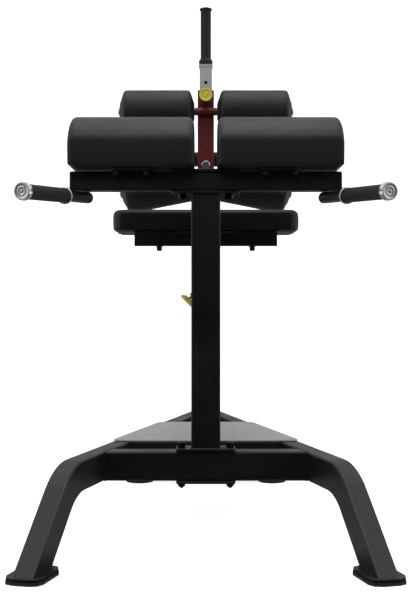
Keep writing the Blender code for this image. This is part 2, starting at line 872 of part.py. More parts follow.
clamp_plate = piece(
    "base_clamp_plate",
    BLACK_COAT,
    [flange(CLAMP_PLATE_LOW, BASE_FLANGE_WIDTH, CLAMP_PLATE_THICKNESS)],
)
drill_low, drill_high = CLAMP_PLATE_LOW - 0.010, BASE_FLANGE_TOP + 0.010
base_drills = [drill(x, y, drill_low, drill_high, flange_hole) for x, y in BASE_BOLTS]
for target in (front_upright, clamp_plate, front_crossmember):
    cut(target, base_drills, "base_bolt_holes")
for word, (x, y) in zip(SIDES, BASE_BOLTS):
    bolt = through_bolt(x, y, CLAMP_PLATE_LOW, BASE_FLANGE_TOP, BASE_BOLT_TAIL)
    piece(f"base_bolt_{word}", ZINC, [bolt])


# Cross beam, with the top plate and the pad plates welded on it

BEAM_Z = BEAM_UNDERSIDE + BEAM_HEIGHT / 2
cross_beam = piece(
    "cross_beam",
    BLACK_COAT,
    [
        straight_tube(
            Vector((-BEAM_HALF_LENGTH, BEAM_DEPTH / 2, BEAM_Z)),
            Vector((BEAM_HALF_LENGTH, BEAM_DEPTH / 2, BEAM_Z)),
            BACK,
            UP,
            BEAM_DEPTH,
            BEAM_HEIGHT,
        )
    ],
)
PLATE_LOW = BEAM_TOP - WELD_DEPTH
PAD_PLATE_TOP = BEAM_TOP + PAD_PLATE_THICKNESS
beam_plates = [
    level_plate(
        side * PAD_PLATE_X,
        PAD_PLATE_FRONT_Y,
        PAD_PLATE_REAR_Y,
        PLATE_LOW,
        PAD_PLATE_WIDTH / 2,
        PAD_PLATE_TOP - PLATE_LOW,
    )
    for side in (-1, 1)
]
beam_plates.append(flange(PLATE_LOW, TOP_FLANGE_WIDTH, TOP_PLATE_TOP - PLATE_LOW))
weld(cross_beam, beam_plates, "plates")
PAD_BOLTS = [
    (side * (PAD_PLATE_X + dx), y)
    for side in (-1, 1)
    for dx in (-PAD_BOLT_SPREAD_X, PAD_BOLT_SPREAD_X)
    for y in (PAD_PLATE_FRONT_Y + PAD_BOLT_INSET_Y, PAD_PLATE_REAR_Y - PAD_BOLT_INSET_Y)
]


def pad_bolt(x, y, seat, length):
    """A hexagon bolt put in from below. seat is the face that its head bears on."""
    middle = Vector((x, y, seat))
    corner = PAD_BOLT_ACROSS_FLATS / sqrt(3)
    stations = [
        (-PAD_BOLT_HEAD_HEIGHT, corner),
        (WELD_DEPTH / 2, corner),
        (WELD_DEPTH / 2 + 0.0001, PAD_BOLT_RADIUS),
        (length, PAD_BOLT_RADIUS),
    ]
    return rod(middle, UP, stations, 6)


weld(
    cross_beam,
    [pad_bolt(x, y, PLATE_LOW, PAD_PLATE_TOP - PLATE_LOW + PAD_BOLT_GRIP) for x, y in PAD_BOLTS],
    "pad_bolts",
)
drill_low, drill_high = TOP_FLANGE_BOTTOM - 0.010, TOP_PLATE_TOP + 0.010
top_drills = [drill(x, y, drill_low, drill_high, flange_hole) for x, y in TOP_BOLTS]
for target in (front_upright, cross_beam):
    cut(target, top_drills, "top_bolt_holes")
cut(
    cross_beam,
    [
        rod(
            Vector((x, y, TOP_PLATE_TOP)),
            UP,
            [
                (-(COUNTERSINK_RADIUS - FLANGE_BOLT_RADIUS) - 0.0008, flange_hole * 0.98),
                (-0.0005, COUNTERSINK_RADIUS + HOLE_PLAY),
                (0.010, COUNTERSINK_RADIUS + HOLE_PLAY),
            ],
            BOLT_SIDES,
        )
        for x, y in TOP_BOLTS
    ],
    "countersinks",
)
for word, (x, y) in zip(SIDES, TOP_BOLTS):
    bolt = through_bolt(
        x, y, TOP_FLANGE_BOTTOM, TOP_PLATE_TOP, TOP_BOLT_TAIL, countersunk=True
    )
    piece(f"top_bolt_{word}", BLACK_BOLT, [bolt])


# Plugs in the open ends of the tubes

def tube_plug(mouth, axis, across, up, half_across, half_up):
    """A plastic plug: a flange over the tube's end and a body inside it. axis points out."""
    inner = TUBE_WALL + GAP
    rings = [
        (-PLUG_DEPTH, half_across - inner, half_up - inner, 0.0015),
        (GAP, half_across - inner, half_up - inner, 0.0015),
        (GAP + 0.0001, half_across - 0.0005, half_up - 0.0005, TUBE_CORNER),
        (0.0025, half_across - 0.0005, half_up - 0.0005, TUBE_CORNER),
        (0.0040, half_across - 0.0025, half_up - 0.0025, TUBE_CORNER),
    ]
    return skin([box_ring(mouth + axis * t, across, up, a, u, c) for t, a, u, c in rings])


for word, side in SIDES.items():
    beam_end = Vector((side * BEAM_HALF_LENGTH, BEAM_DEPTH / 2, BEAM_Z))
    plug = tube_plug(beam_end, RIGHT * side, BACK, UP, BEAM_DEPTH / 2, BEAM_HEIGHT / 2)
    piece(f"beam_plug_{word}", BLACK_PLASTIC, [plug])
rear_top = Vector((0, REAR_UPRIGHT_Y + REAR_UPRIGHT_DEPTH / 2, REAR_UPRIGHT_TOP))
plug = tube_plug(rear_top, UP, RIGHT, BACK, UPRIGHT_WIDTH / 2, REAR_UPRIGHT_DEPTH / 2)
piece("rear_upright_plug", BLACK_PLASTIC, [plug])


# Thigh pads, their boards and bolts

PAD_BOTTOM = PAD_PLATE_TOP + GAP
PAD_BOARD_TOP = PAD_BOTTOM + PAD_BOARD_THICKNESS
PAD_MIDDLE_Y = (PAD_FRONT_Y + PAD_REAR_Y) / 2
PAD_HALF_DEPTH = (PAD_REAR_Y - PAD_FRONT_Y) / 2
PAD_END_STEPS = 6
PAD_CROWN_STEPS = 12
PAD_SHOULDER_STEPS = 4


def pad_section(x, rounding):
    """The pad's outline across Y and Z: upright sides, a round shoulder and an arc for a crown."""
    half = PAD_HALF_DEPTH - PAD_END_DRAW_IN * rounding
    arc_z = PAD_BOTTOM + PAD_HEIGHT - PAD_END_DROP * rounding - PAD_CROWN_RADIUS
    reach = half - PAD_SHOULDER_RADIUS
    shoulder_z = arc_z + sqrt((PAD_CROWN_RADIUS - PAD_SHOULDER_RADIUS) ** 2 - reach**2)
    turn = atan2(shoulder_z - arc_z, reach)
    points = []
    for i in range(3):
        a = pi / 2 * i / 2
        y = half - PAD_BOTTOM_RADIUS * (1 - sin(a))
        points.append((y, PAD_BOTTOM + PAD_BOTTOM_RADIUS * (1 - cos(a))))
    points.append((half, (PAD_BOTTOM + shoulder_z) / 2))
    for i in range(PAD_SHOULDER_STEPS):
        a = turn * i / PAD_SHOULDER_STEPS
        points.append(
            (reach + PAD_SHOULDER_RADIUS * cos(a), shoulder_z + PAD_SHOULDER_RADIUS * sin(a))
        )
    for i in range(PAD_CROWN_STEPS // 2):
        a = turn + (pi / 2 - turn) * i / (PAD_CROWN_STEPS / 2)
        points.append((PAD_CROWN_RADIUS * cos(a), arc_z + PAD_CROWN_RADIUS * sin(a)))
    crest = [(0, arc_z + PAD_CROWN_RADIUS)]
    mirrored = [(-y, z) for y, z in points[::-1]]
    return [Vector((x, PAD_MIDDLE_Y + y, z)) for y, z in points + crest + mirrored]


def thigh_pad(name, side):
    inner, outer = PAD_INNER_X, PAD_OUTER_X
    stations = []
    for i in range(PAD_END_STEPS + 1):
        a = pi / 2 * i / PAD_END_STEPS
        stations.append((inner + PAD_END_ROUNDING * (1 - cos(a)), 1 - sin(a)))
    middle = (inner + outer) / 2
    stations.append((middle, 0))
    for x, rounding in stations[-2::-1]:
        stations.append((2 * middle - x, rounding))
    rings = [pad_section(side * x, rounding) for x, rounding in stations]
    obj = piece(name, BLACK_VINYL, [skin(rings)], smooth=50)
    cut(obj, [pad_board(side, GAP, -CUTTER_OVERRUN)], "board_recess")
    return obj


def pad_board(side, margin=0.0, low=0.0):
    middle = Vector((side * (PAD_INNER_X + PAD_OUTER_X) / 2, PAD_MIDDLE_Y, PAD_BOTTOM + low))
    return slab(
        middle,
        UP,
        RIGHT,
        BACK,
        (PAD_OUTER_X - PAD_INNER_X) / 2 - PAD_BOARD_MARGIN + margin,
        PAD_HALF_DEPTH - PAD_BOARD_MARGIN + margin,
        PAD_BOARD_THICKNESS - low + margin,
        PAD_BOARD_CORNER,
        0.0005,
    )


drill_low, drill_high = BEAM_TOP - 0.010, PAD_BOARD_TOP - 0.003
pad_drills = [
    drill(x, y, drill_low, drill_high, PAD_BOLT_RADIUS + HOLE_PLAY) for x, y in PAD_BOLTS
]
for word, side in SIDES.items():
    thigh_pad(f"thigh_pad_{word}", side)
    board = piece(f"thigh_pad_board_{word}", PLYWOOD, [pad_board(side)])
    cut(board, pad_drills, "bolt_holes")


# Handle bars with rubber grips

def handle_axis(side):
    level = cos(HANDLE_FALL)
    return Vector(
        (side * sin(HANDLE_TURN_OUT) * level, -cos(HANDLE_TURN_OUT) * level, -sin(HANDLE_FALL))
    )


def handle_start(side):
    below_beam = BEAM_UNDERSIDE - GAP - HANDLE_RADIUS / cos(HANDLE_FALL)
    return Vector((side * HANDLE_REAR_X, HANDLE_REAR_Y, below_beam))


GRIP_END = GRIP_START + GRIP_LENGTH
COLLAR_END = GRIP_START - GAP
COLLAR_START = COLLAR_END - COLLAR_LENGTH
CAP_SEAT = max(GRIP_END, HANDLE_LENGTH) + GAP
CAP_FACE = CAP_SEAT + HANDLE_CAP_LENGTH
handle_bore = HANDLE_RADIUS - HANDLE_WALL
bar_form = [(0, HANDLE_RADIUS - 0.002), (0.002, HANDLE_RADIUS), (HANDLE_LENGTH, HANDLE_RADIUS)]
grip_form = [
    (GRIP_START, GRIP_RADIUS - 0.002),
    (GRIP_START + 0.002, GRIP_RADIUS),
    (GRIP_END - 0.002, GRIP_RADIUS),
    (GRIP_END, GRIP_RADIUS - 0.002),
]
collar_form = [
    (COLLAR_START, COLLAR_RADIUS - 0.002),
    (COLLAR_START + 0.002, COLLAR_RADIUS),
    (COLLAR_END - 0.002, COLLAR_RADIUS),
    (COLLAR_END, COLLAR_RADIUS - 0.002),
]
end_cap_form = [
    (HANDLE_LENGTH - 0.014, handle_bore - GAP),
    (CAP_SEAT, handle_bore - GAP),
    (CAP_SEAT + 0.0001, HANDLE_CAP_RADIUS - 0.0015),
    (CAP_SEAT + 0.0015, HANDLE_CAP_RADIUS),
    (CAP_FACE - 0.002, HANDLE_CAP_RADIUS),
    (CAP_FACE, HANDLE_CAP_RADIUS - 0.002),
    (CAP_FACE + 0.0001, HANDLE_CAP_RADIUS * 0.72),
    (CAP_FACE - 0.0015, HANDLE_CAP_RADIUS * 0.62),
]
for word, side in SIDES.items():
    start, axis = handle_start(side), handle_axis(side)
    piece(f"handle_bar_{word}", BLACK_COAT, [sleeve(start, axis, bar_form, handle_bore)])
    piece(f"handle_grip_{word}", RUBBER, [sleeve(start, axis, grip_form, HANDLE_RADIUS + GAP)])
    piece(f"handle_collar_{word}", CHROME, [sleeve(start, axis, collar_form, HANDLE_RADIUS + GAP)])
    piece(f"handle_end_cap_{word}", CHROME, [rod(start, axis, end_cap_form)])


# Slide boom

DIAGONAL_A = (RIGHT + UP).normalized()
DIAGONAL_B = (UP - RIGHT).normalized()
BOOM_FRONT = UPRIGHT_DEPTH + GAP
BOOM_REAR = REAR_UPRIGHT_Y - GAP
PIN_AXIS = -DIAGONAL_A


def boom_point(y):
    return Vector((0, y, BOOM_Z))


def boom_prism(size, y_front, y_rear):
    """A solid square bar on edge along the boom, used to notch what is welded over it."""
    frames = (boom_point(y_front), boom_point(y_rear))
    return skin([box_ring(c, DIAGONAL_A, DIAGONAL_B, size / 2, size / 2, 0.004) for c in frames])


boom = piece(
    "slide_boom",
    BLACK_COAT,
    [
        straight_tube(
            boom_point(BOOM_FRONT), boom_point(BOOM_REAR), DIAGONAL_A, DIAGONAL_B, BOOM_SIZE, BOOM_SIZE
        )
    ],
)
cut(
    boom,
    [
        rod(
            boom_point(MAST_Y + BOOM_HOLE_PITCH * i),
            PIN_AXIS,
            [
                (BOOM_SIZE / 2 - TUBE_WALL - 0.004, CARRIAGE_PIN_RADIUS + 0.0006),
                (BOOM_SIZE / 2 + 0.004, CARRIAGE_PIN_RADIUS + 0.0006),
            ],
            BOLT_SIDES,
        )
        for i in range(BOOM_HOLES)
    ],
    "pin_holes",
)


# Knee pad bracket, board, pad and bolts

BRACKET_LOW = KNEE_BRACKET_TOP - KNEE_BRACKET_SIZE
BRACKET_Z = KNEE_BRACKET_TOP - KNEE_BRACKET_SIZE / 2
KNEE_BOARD_LOW = KNEE_BRACKET_TOP + GAP
KNEE_BOARD_TOP = KNEE_BOARD_LOW + KNEE_BOARD_THICKNESS

bracket = piece(
    "knee_pad_bracket",
    BLACK_COAT,
    [
        straight_tube(
            Vector((-KNEE_BRACKET_HALF_LENGTH, KNEE_BRACKET_Y, BRACKET_Z)),
            Vector((KNEE_BRACKET_HALF_LENGTH, KNEE_BRACKET_Y, BRACKET_Z)),
            BACK,
            UP,
            KNEE_BRACKET_SIZE,
            KNEE_BRACKET_SIZE,
        )
    ],
)
weld(
    bracket,
    [
        straight_tube(
            Vector((0, KNEE_BRACKET_Y + KNEE_BRACKET_SIZE / 2 - WELD_DEPTH, BRACKET_Z)),
            Vector((0, KNEE_SPINE_END_Y, BRACKET_Z)),
            RIGHT,
            UP,
            KNEE_BRACKET_SIZE - 0.0010,
            KNEE_BRACKET_SIZE - 0.0010,
        )
    ],
    "spine",
)
weld(
    bracket,
    [
        straight_tube(
            Vector((0, KNEE_BRACKET_Y, BOOM_Z + 0.012)),
            Vector((0, KNEE_BRACKET_Y, BRACKET_LOW + WELD_DEPTH)),
            RIGHT,
            BACK,
            KNEE_RISER_SIZE,
            KNEE_RISER_SIZE,
        )
    ],
    "riser",
)
cut(
    bracket,
    [
        boom_prism(
            BOOM_SIZE + 2 * GAP, KNEE_BRACKET_Y - KNEE_RISER_SIZE, KNEE_BRACKET_Y + KNEE_RISER_SIZE
        )
    ],
    "boom_notch",
)

KNEE_BOLTS = [
    (-KNEE_BOLT_X, KNEE_BRACKET_Y),
    (KNEE_BOLT_X, KNEE_BRACKET_Y),
    (0, KNEE_BOLT_Y),
]
knee_drills = [
    drill(
        x, y, BRACKET_LOW, KNEE_BOARD_LOW + KNEE_BOLT_DEPTH + 0.001, PAD_BOLT_RADIUS + HOLE_PLAY
    )
    for x, y in KNEE_BOLTS
]
weld(
    bracket,
    [
        pad_bolt(
            x,
            y,
            BRACKET_LOW + (0 if x else 0.0005),
            KNEE_BRACKET_SIZE + GAP + KNEE_BOLT_DEPTH - (0 if x else 0.0005),
        )
        for x, y in KNEE_BOLTS
    ],
    "bolts",
)


def knee_ring(height, inset):
    half_depth = (KNEE_PAD_REAR_Y - KNEE_PAD_FRONT_Y) / 2
    middle = Vector((0, (KNEE_PAD_REAR_Y + KNEE_PAD_FRONT_Y) / 2, height))
    return box_ring(
        middle,
        RIGHT,
        BACK,
        KNEE_PAD_HALF_WIDTH - inset,
        half_depth - inset,
        max(KNEE_PAD_CORNER - inset * 0.6, 0.012),
        7,
    )


knee_board = piece(
    "knee_pad_board",
    PLYWOOD,
    [
        skin(
            [
                knee_ring(KNEE_BOARD_LOW, KNEE_BOARD_MARGIN),
                knee_ring(KNEE_BOARD_TOP, KNEE_BOARD_MARGIN),
            ]
        )
    ],
)
cut(knee_board, knee_drills, "bolt_holes")
KNEE_ROUND_STEPS = 5
KNEE_LOWER_ROUND_STEPS = 3
knee_levels = []
for i in range(KNEE_LOWER_ROUND_STEPS + 1):
    a = pi / 2 * i / KNEE_LOWER_ROUND_STEPS
    knee_levels.append(
        (KNEE_PAD_LOWER_ROUNDING * (1 - cos(a)), KNEE_PAD_LOWER_ROUNDING * (1 - sin(a)))
    )
for i in range(KNEE_ROUND_STEPS + 1):
    a = pi / 2 * i / KNEE_ROUND_STEPS
    rise = KNEE_PAD_HEIGHT - KNEE_PAD_CROWN - KNEE_PAD_ROUNDING * (1 - sin(a))
    knee_levels.append((rise, KNEE_PAD_ROUNDING * (1 - cos(a))))
knee_levels += [
    (KNEE_PAD_HEIGHT - KNEE_PAD_CROWN * 0.4, 0.045),
    (KNEE_PAD_HEIGHT, 0.090),
]
knee_pad = piece(
    "knee_pad",
    BLACK_VINYL,
    [skin([knee_ring(KNEE_BOARD_LOW + rise, inset) for rise, inset in knee_levels])],
    smooth=50,
)
board_room = [
    knee_ring(KNEE_BOARD_LOW - CUTTER_OVERRUN, KNEE_BOARD_MARGIN - GAP),
    knee_ring(KNEE_BOARD_TOP + GAP, KNEE_BOARD_MARGIN - GAP),
]
cut(knee_pad, [skin(board_room)], "board_recess")


# Carriage on the boom

carriage_body = hold("carriage_on_boom", boom_point(MAST_Y), MACHINE)
CARRIAGE_FRONT = MAST_Y - CARRIAGE_LENGTH / 2
CARRIAGE_REAR = MAST_Y + CARRIAGE_LENGTH / 2
CARRIAGE_INNER = CARRIAGE_SIZE - 2 * CARRIAGE_WALL

carriage = piece(
    "carriage_sleeve",
    BLACK_COAT,
    [
        straight_tube(
            boom_point(CARRIAGE_FRONT),
            boom_point(CARRIAGE_REAR),
            DIAGONAL_A,
            DIAGONAL_B,
            CARRIAGE_SIZE,
            CARRIAGE_SIZE,
            CARRIAGE_WALL,
            0.009,
        )
    ],
    boom_point(MAST_Y),
    carriage_body,
)
carriage_pin_hole = rod(
    boom_point(MAST_Y),
    PIN_AXIS,
    [
        (BOOM_SIZE / 2 - 0.004, CARRIAGE_PIN_RADIUS + HOLE_PLAY),
        (CARRIAGE_SIZE / 2 + 0.004, CARRIAGE_PIN_RADIUS + HOLE_PLAY),
    ],
    BOLT_SIDES,
)


liner_outside = CARRIAGE_INNER - 2 * GAP
liner = piece(
    "carriage_liner",
    BLACK_PLASTIC,
    [
        straight_tube(
            boom_point(CARRIAGE_FRONT),
            boom_point(CARRIAGE_REAR),
            DIAGONAL_A,
            DIAGONAL_B,
            liner_outside,
            liner_outside,
            (liner_outside - BOOM_SIZE) / 2 - GAP,
            0.005,
        )
    ],
    boom_point(MAST_Y),
    carriage_body,
)
cut(liner, [carriage_pin_hole], "pin_hole")


# Mast: a socket welded on the carriage, the post in it, and the grip on top

def mast_point(z):
    return Vector((0, MAST_Y, z))


MAST_BOTTOM = BOOM_Z + 0.015
weld(
    carriage,
    [
        straight_tube(
            mast_point(MAST_BOTTOM),
            mast_point(MAST_SOCKET_TOP),
            RIGHT,
            BACK,
            MAST_SOCKET_SIZE,
            MAST_SOCKET_SIZE,
            (MAST_SOCKET_SIZE - MAST_SIZE) / 2 - GAP,
        )
    ],
    "mast_socket",
)
cut(carriage, [boom_prism(CARRIAGE_INNER, CARRIAGE_FRONT - 0.010, CARRIAGE_REAR + 0.010)], "bore")
cut(carriage, [carriage_pin_hole], "pin_hole")
mast = piece(
    "mast_post",
    SILVER_COAT,
    [
        straight_tube(
            mast_point(MAST_BOTTOM), mast_point(MAST_TOP), RIGHT, BACK, MAST_SIZE, MAST_SIZE, 0.003, 0.004
        )
    ],
    boom_point(MAST_Y),
    carriage_body,
)
carriage_notch = boom_prism(CARRIAGE_SIZE + 2 * GAP, CARRIAGE_FRONT, CARRIAGE_REAR)
cut(mast, [carriage_notch], "carriage_notch")
MAST_FRONT = MAST_Y - MAST_SIZE / 2
cut(
    mast,
    [
        rod(
            Vector((0, MAST_FRONT - 0.004, HEIGHT_PIN_Z + MAST_HOLE_PITCH * i)),
            BACK,
            [(0, HEIGHT_PIN_RADIUS + 0.0008), (0.011, HEIGHT_PIN_RADIUS + 0.0008)],
            BOLT_SIDES,
        )
        for i in range(-MAST_HOLES_BELOW, MAST_HOLES_ABOVE + 1)
    ],
    "pin_holes",
)
CAP_BOTTOM = MAST_TOP + GAP
GRIP_BOTTOM = CAP_BOTTOM + MAST_CAP_THICKNESS + GAP
GRIP_TOP = GRIP_BOTTOM + MAST_GRIP_LENGTH
cap_half = MAST_CAP_SIZE / 2
plug_half = MAST_SIZE / 2 - TUBE_WALL - GAP
stem_rings = [
    box_ring(mast_point(MAST_TOP - 0.020), RIGHT, BACK, plug_half, plug_half, 0.003, 3),
    box_ring(mast_point(CAP_BOTTOM), RIGHT, BACK, plug_half, plug_half, 0.003, 3),
    box_ring(mast_point(CAP_BOTTOM + 0.0001), RIGHT, BACK, cap_half, cap_half, 0.005, 3),
    box_ring(mast_point(GRIP_BOTTOM - GAP), RIGHT, BACK, cap_half, cap_half, 0.005, 3),
    box_ring(mast_point(GRIP_BOTTOM - GAP + 0.0001), RIGHT, BACK, STEM_RADIUS, STEM_RADIUS, 1, 3),
    box_ring(mast_point(GRIP_TOP - 0.012), RIGHT, BACK, STEM_RADIUS, STEM_RADIUS, 1, 3),
]
piece("mast_stem", BLACK_COAT, [skin(stem_rings)], boom_point(MAST_Y), carriage_body)


def grip_rings(stations):
    return [round_ring(mast_point(GRIP_BOTTOM + t), RIGHT, BACK, r, TUBE_SIDES) for t, r in stations]


grip_outer = grip_rings(
    [
        (0, MAST_GRIP_COLLAR_RADIUS - 0.002),
        (0.002, MAST_GRIP_COLLAR_RADIUS),
        (MAST_GRIP_COLLAR_LENGTH - 0.003, MAST_GRIP_COLLAR_RADIUS),
        (MAST_GRIP_COLLAR_LENGTH, MAST_GRIP_RADIUS + 0.002),
        (MAST_GRIP_COLLAR_LENGTH + 0.003, MAST_GRIP_RADIUS),
        (MAST_GRIP_LENGTH - 0.020, MAST_GRIP_RADIUS),
        (MAST_GRIP_LENGTH - 0.016, MAST_GRIP_FLANGE_RADIUS),
        (MAST_GRIP_LENGTH - 0.008, MAST_GRIP_FLANGE_RADIUS),
        (MAST_GRIP_LENGTH - 0.003, MAST_GRIP_RADIUS),
        (MAST_GRIP_LENGTH, MAST_GRIP_RADIUS * 0.6),
    ]
)
grip_bore = grip_rings([(0, STEM_RADIUS + GAP), (MAST_GRIP_LENGTH - 0.011, STEM_RADIUS + GAP)])
piece(
    "mast_grip",
    RUBBER,
    [skin(grip_bore[::-1] + grip_outer)],
    boom_point(MAST_Y),
    carriage_body,
)


# Knobs and pins

def pull_knob(start, axis, radius, pin_radius):
    """A round knob with a finger rim and a dished face, moulded over the end of its pin."""
    stations = [
        (0, radius * 0.60),
        (KNOB_THICKNESS * 0.35, radius * 0.84),
        (KNOB_THICKNESS * 0.45, radius),
        (KNOB_THICKNESS * 0.88, radius),
        (KNOB_THICKNESS, radius * 0.88),
        (KNOB_THICKNESS - 0.0002, radius * 0.70),
        (KNOB_THICKNESS - 0.0030, radius * 0.58),
    ]
    across, up = across_of(axis)
    outer = [round_ring(start + axis * t, across, up, r, KNOB_SIDES) for t, r in stations]
    socket_radius = pin_radius + GAP
    pocket = [
        round_ring(start + axis * t, across, up, socket_radius, KNOB_SIDES)
        for t in (KNOB_THICKNESS - 0.008, 0)
    ]
    return skin(pocket + outer)


def pull_pin(start, axis, length, radius):
    """The plunger: a rounded nose, and a shank whose far end is in the knob."""
    stations = [
        (0, radius * 0.6),
        (0.0015, radius * 0.9),
        (0.0030, radius),
        (length, radius),
    ]
    return rod(start, axis, stations, BOLT_SIDES)


def barrel(start, axis, length, bore):
    """The threaded body screwed in the sleeve, with a hexagon by the wall."""
    across, up = across_of(axis)
    hexagon = 0.022
    outer = [
        hexagon_ring(start, across, up, hexagon, BOLT_SIDES),
        hexagon_ring(start + axis * 0.008, across, up, hexagon, BOLT_SIDES),
        round_ring(start + axis * 0.0082, across, up, BARREL_RADIUS, BOLT_SIDES),
        round_ring(start + axis * (length - 0.002), across, up, BARREL_RADIUS, BOLT_SIDES),
        round_ring(start + axis * length, across, up, BARREL_RADIUS - 0.0015, BOLT_SIDES),
    ]
    inner = [
        round_ring(start, across, up, bore, BOLT_SIDES),
        round_ring(start + axis * length, across, up, bore, BOLT_SIDES),
    ]
    return bored(outer, inner)


CARRIAGE_FACE = CARRIAGE_SIZE / 2 + GAP
carriage_barrel_end = CARRIAGE_FACE + CARRIAGE_BARREL_LENGTH
carriage_knob_at = carriage_barrel_end + CARRIAGE_KNOB_STANDOFF
carriage_pin_body = hold("carriage_pin_axis", boom_point(MAST_Y), carriage_body)
piece(
    "carriage_pin_barrel",
    BLACK_PLASTIC,
    [
        barrel(
            boom_point(MAST_Y) + PIN_AXIS * CARRIAGE_FACE,
            PIN_AXIS,
            CARRIAGE_BARREL_LENGTH,
            CARRIAGE_PIN_RADIUS + HOLE_PLAY,
        )
    ],
    boom_point(MAST_Y),
    carriage_body,
)
piece(
    "carriage_pin",
    ZINC,
    [
        pull_pin(
            boom_point(MAST_Y) + PIN_AXIS * (BOOM_SIZE / 2 + GAP),
            PIN_AXIS,
            carriage_knob_at + KNOB_THICKNESS - 0.0085 - BOOM_SIZE / 2 - GAP,
            CARRIAGE_PIN_RADIUS,
        )
    ],
    boom_point(MAST_Y),
    carriage_pin_body,
)
piece(
    "carriage_knob",
    YELLOW_PLASTIC,
    [
        pull_knob(
            boom_point(MAST_Y) + PIN_AXIS * carriage_knob_at,
            PIN_AXIS,
            CARRIAGE_KNOB_RADIUS,
            CARRIAGE_PIN_RADIUS,
        )
    ],
    boom_point(MAST_Y),
    carriage_pin_body,
)


# Ankle unit: sleeve with axle bosses

ankle_body = hold("ankle_on_mast", mast_point(SLEEVE_BOTTOM), carriage_body)
SLEEVE_FRONT = MAST_Y - SLEEVE_SIZE / 2
SLEEVE_REAR = MAST_Y + SLEEVE_SIZE / 2
AXLE_Y = SLEEVE_FRONT - BOSS_RADIUS + WELD_DEPTH
BOSS_BORE = AXLE_RADIUS + GAP


def lower_axis(side):
    return Vector((side * cos(LOWER_AXLE_FALL), 0, -sin(LOWER_AXLE_FALL)))


def cross_rings(middle, radius, half_length, fall, sides=TUBE_SIDES):
    """Rings of a bar through middle whose two halves fall away from it by an angle."""
    rings = []
    for side in (-1, 0, 1):
        axis = Vector((cos(fall), 0, -side * sin(fall)))
        rise = Vector((side * sin(fall), 0, cos(fall))) if side else UP / cos(fall)
        centre = middle + axis * (side * half_length)
        rings.append(round_ring(centre, BACK, rise, radius, sides))
    return rings


UPPER_MIDDLE = Vector((0, AXLE_Y, UPPER_AXLE_Z))
LOWER_MIDDLE = Vector((0, AXLE_Y, LOWER_AXLE_Z))


def boss(middle, fall):
    return bored(
        cross_rings(middle, BOSS_RADIUS, BOSS_HALF_LENGTH, fall),
        cross_rings(middle, BOSS_BORE, BOSS_HALF_LENGTH, fall),
    )


ankle_sleeve = piece(
    "ankle_sleeve",
    RED_COAT,
    [
        straight_tube(
            mast_point(SLEEVE_BOTTOM), mast_point(SLEEVE_TOP), RIGHT, BACK, SLEEVE_SIZE, SLEEVE_SIZE
        )
    ],
    mast_point(SLEEVE_BOTTOM),
    ankle_body,
)
weld(ankle_sleeve, [boss(UPPER_MIDDLE, 0.0), boss(LOWER_MIDDLE, LOWER_AXLE_FALL)], "axle_bosses")
FOOT_BAR_MIDDLE = Vector((0, FOOT_BAR_Y, FOOT_BAR_Z))
bar_clearance = FOOT_BAR_RADIUS + GAP
bracket_half = (FOOT_BAR_Y - SLEEVE_REAR + WELD_DEPTH) / 2
foot_brackets = [
    slab(
        Vector(
            (
                side * FOOT_BRACKET_X - FOOT_BRACKET_THICKNESS / 2,
                SLEEVE_REAR - WELD_DEPTH + bracket_half,
                FOOT_BAR_Z,
            )
        ),
        RIGHT,
        BACK,
        UP,
        bracket_half,
        FOOT_BRACKET_HEIGHT / 2,
        FOOT_BRACKET_THICKNESS,
        0.001,
    )
    for side in (-1, 1)
]
weld(ankle_sleeve, foot_brackets, "foot_brackets")
bar_seat = [(0, bar_clearance), (0.100, bar_clearance)]
cut(ankle_sleeve, [rod(FOOT_BAR_MIDDLE - RIGHT * 0.050, RIGHT, bar_seat)], "bar_seat")


def front_hole(z, radius):
    start = Vector((0, SLEEVE_FRONT - 0.004, z))
    depth = (SLEEVE_SIZE - MAST_SIZE) / 2 + 0.006
    return rod(start, BACK, [(0, radius), (depth, radius)], BOLT_SIDES)


cut(
    ankle_sleeve,
    [
        front_hole(HEIGHT_PIN_Z, HEIGHT_PIN_RADIUS + HOLE_PLAY),
        front_hole(SLEEVE_HOLE_Z, SLEEVE_HOLE_RADIUS),
        front_hole(CLAMP_SCREW_Z, CLAMP_SCREW_RADIUS + HOLE_PLAY),
    ],
    "front_holes",
)


sleeve_liner_outside = SLEEVE_SIZE - 2 * TUBE_WALL - 2 * GAP
sleeve_liner = piece(
    "ankle_liner",
    BLACK_PLASTIC,
    [
        straight_tube(
            mast_point(SLEEVE_BOTTOM),
            mast_point(SLEEVE_TOP),
            RIGHT,
            BACK,
            sleeve_liner_outside,
            sleeve_liner_outside,
            (sleeve_liner_outside - MAST_SIZE) / 2 - GAP,
            0.004,
        )
    ],
    mast_point(SLEEVE_BOTTOM),
    ankle_body,
)
cut(sleeve_liner, [front_hole(HEIGHT_PIN_Z, HEIGHT_PIN_RADIUS + HOLE_PLAY)], "pin_hole")
piece(
    "sleeve_screw",
    ZINC,
    [
        rod(
            Vector((0, SLEEVE_FRONT, CLAMP_SCREW_Z)),
            BACK,
            [
                (-0.0055, CLAMP_SCREW_HEAD_RADIUS * 0.86),
                (-0.0045, CLAMP_SCREW_HEAD_RADIUS),
                (-GAP, CLAMP_SCREW_HEAD_RADIUS),
                (-GAP + 0.0001, CLAMP_SCREW_RADIUS),
                (TUBE_WALL, CLAMP_SCREW_RADIUS),
            ],
            TUBE_SIDES,
        )
    ],
    mast_point(SLEEVE_BOTTOM),
    ankle_body,
)


# Axles and foam rollers

ROLLER_START = BOSS_HALF_LENGTH + GAP
ROLLER_END = ROLLER_START + ROLLER_LENGTH
CAP_START = ROLLER_END + GAP
AXLE_END_FORM = [
    (CAP_START + AXLE_CAP_LENGTH, AXLE_CAP_RADIUS * 0.6),
    (CAP_START + AXLE_CAP_LENGTH - 0.0015, AXLE_CAP_RADIUS),
    (CAP_START + 0.0001, AXLE_CAP_RADIUS),
    (CAP_START, AXLE_RADIUS),
]


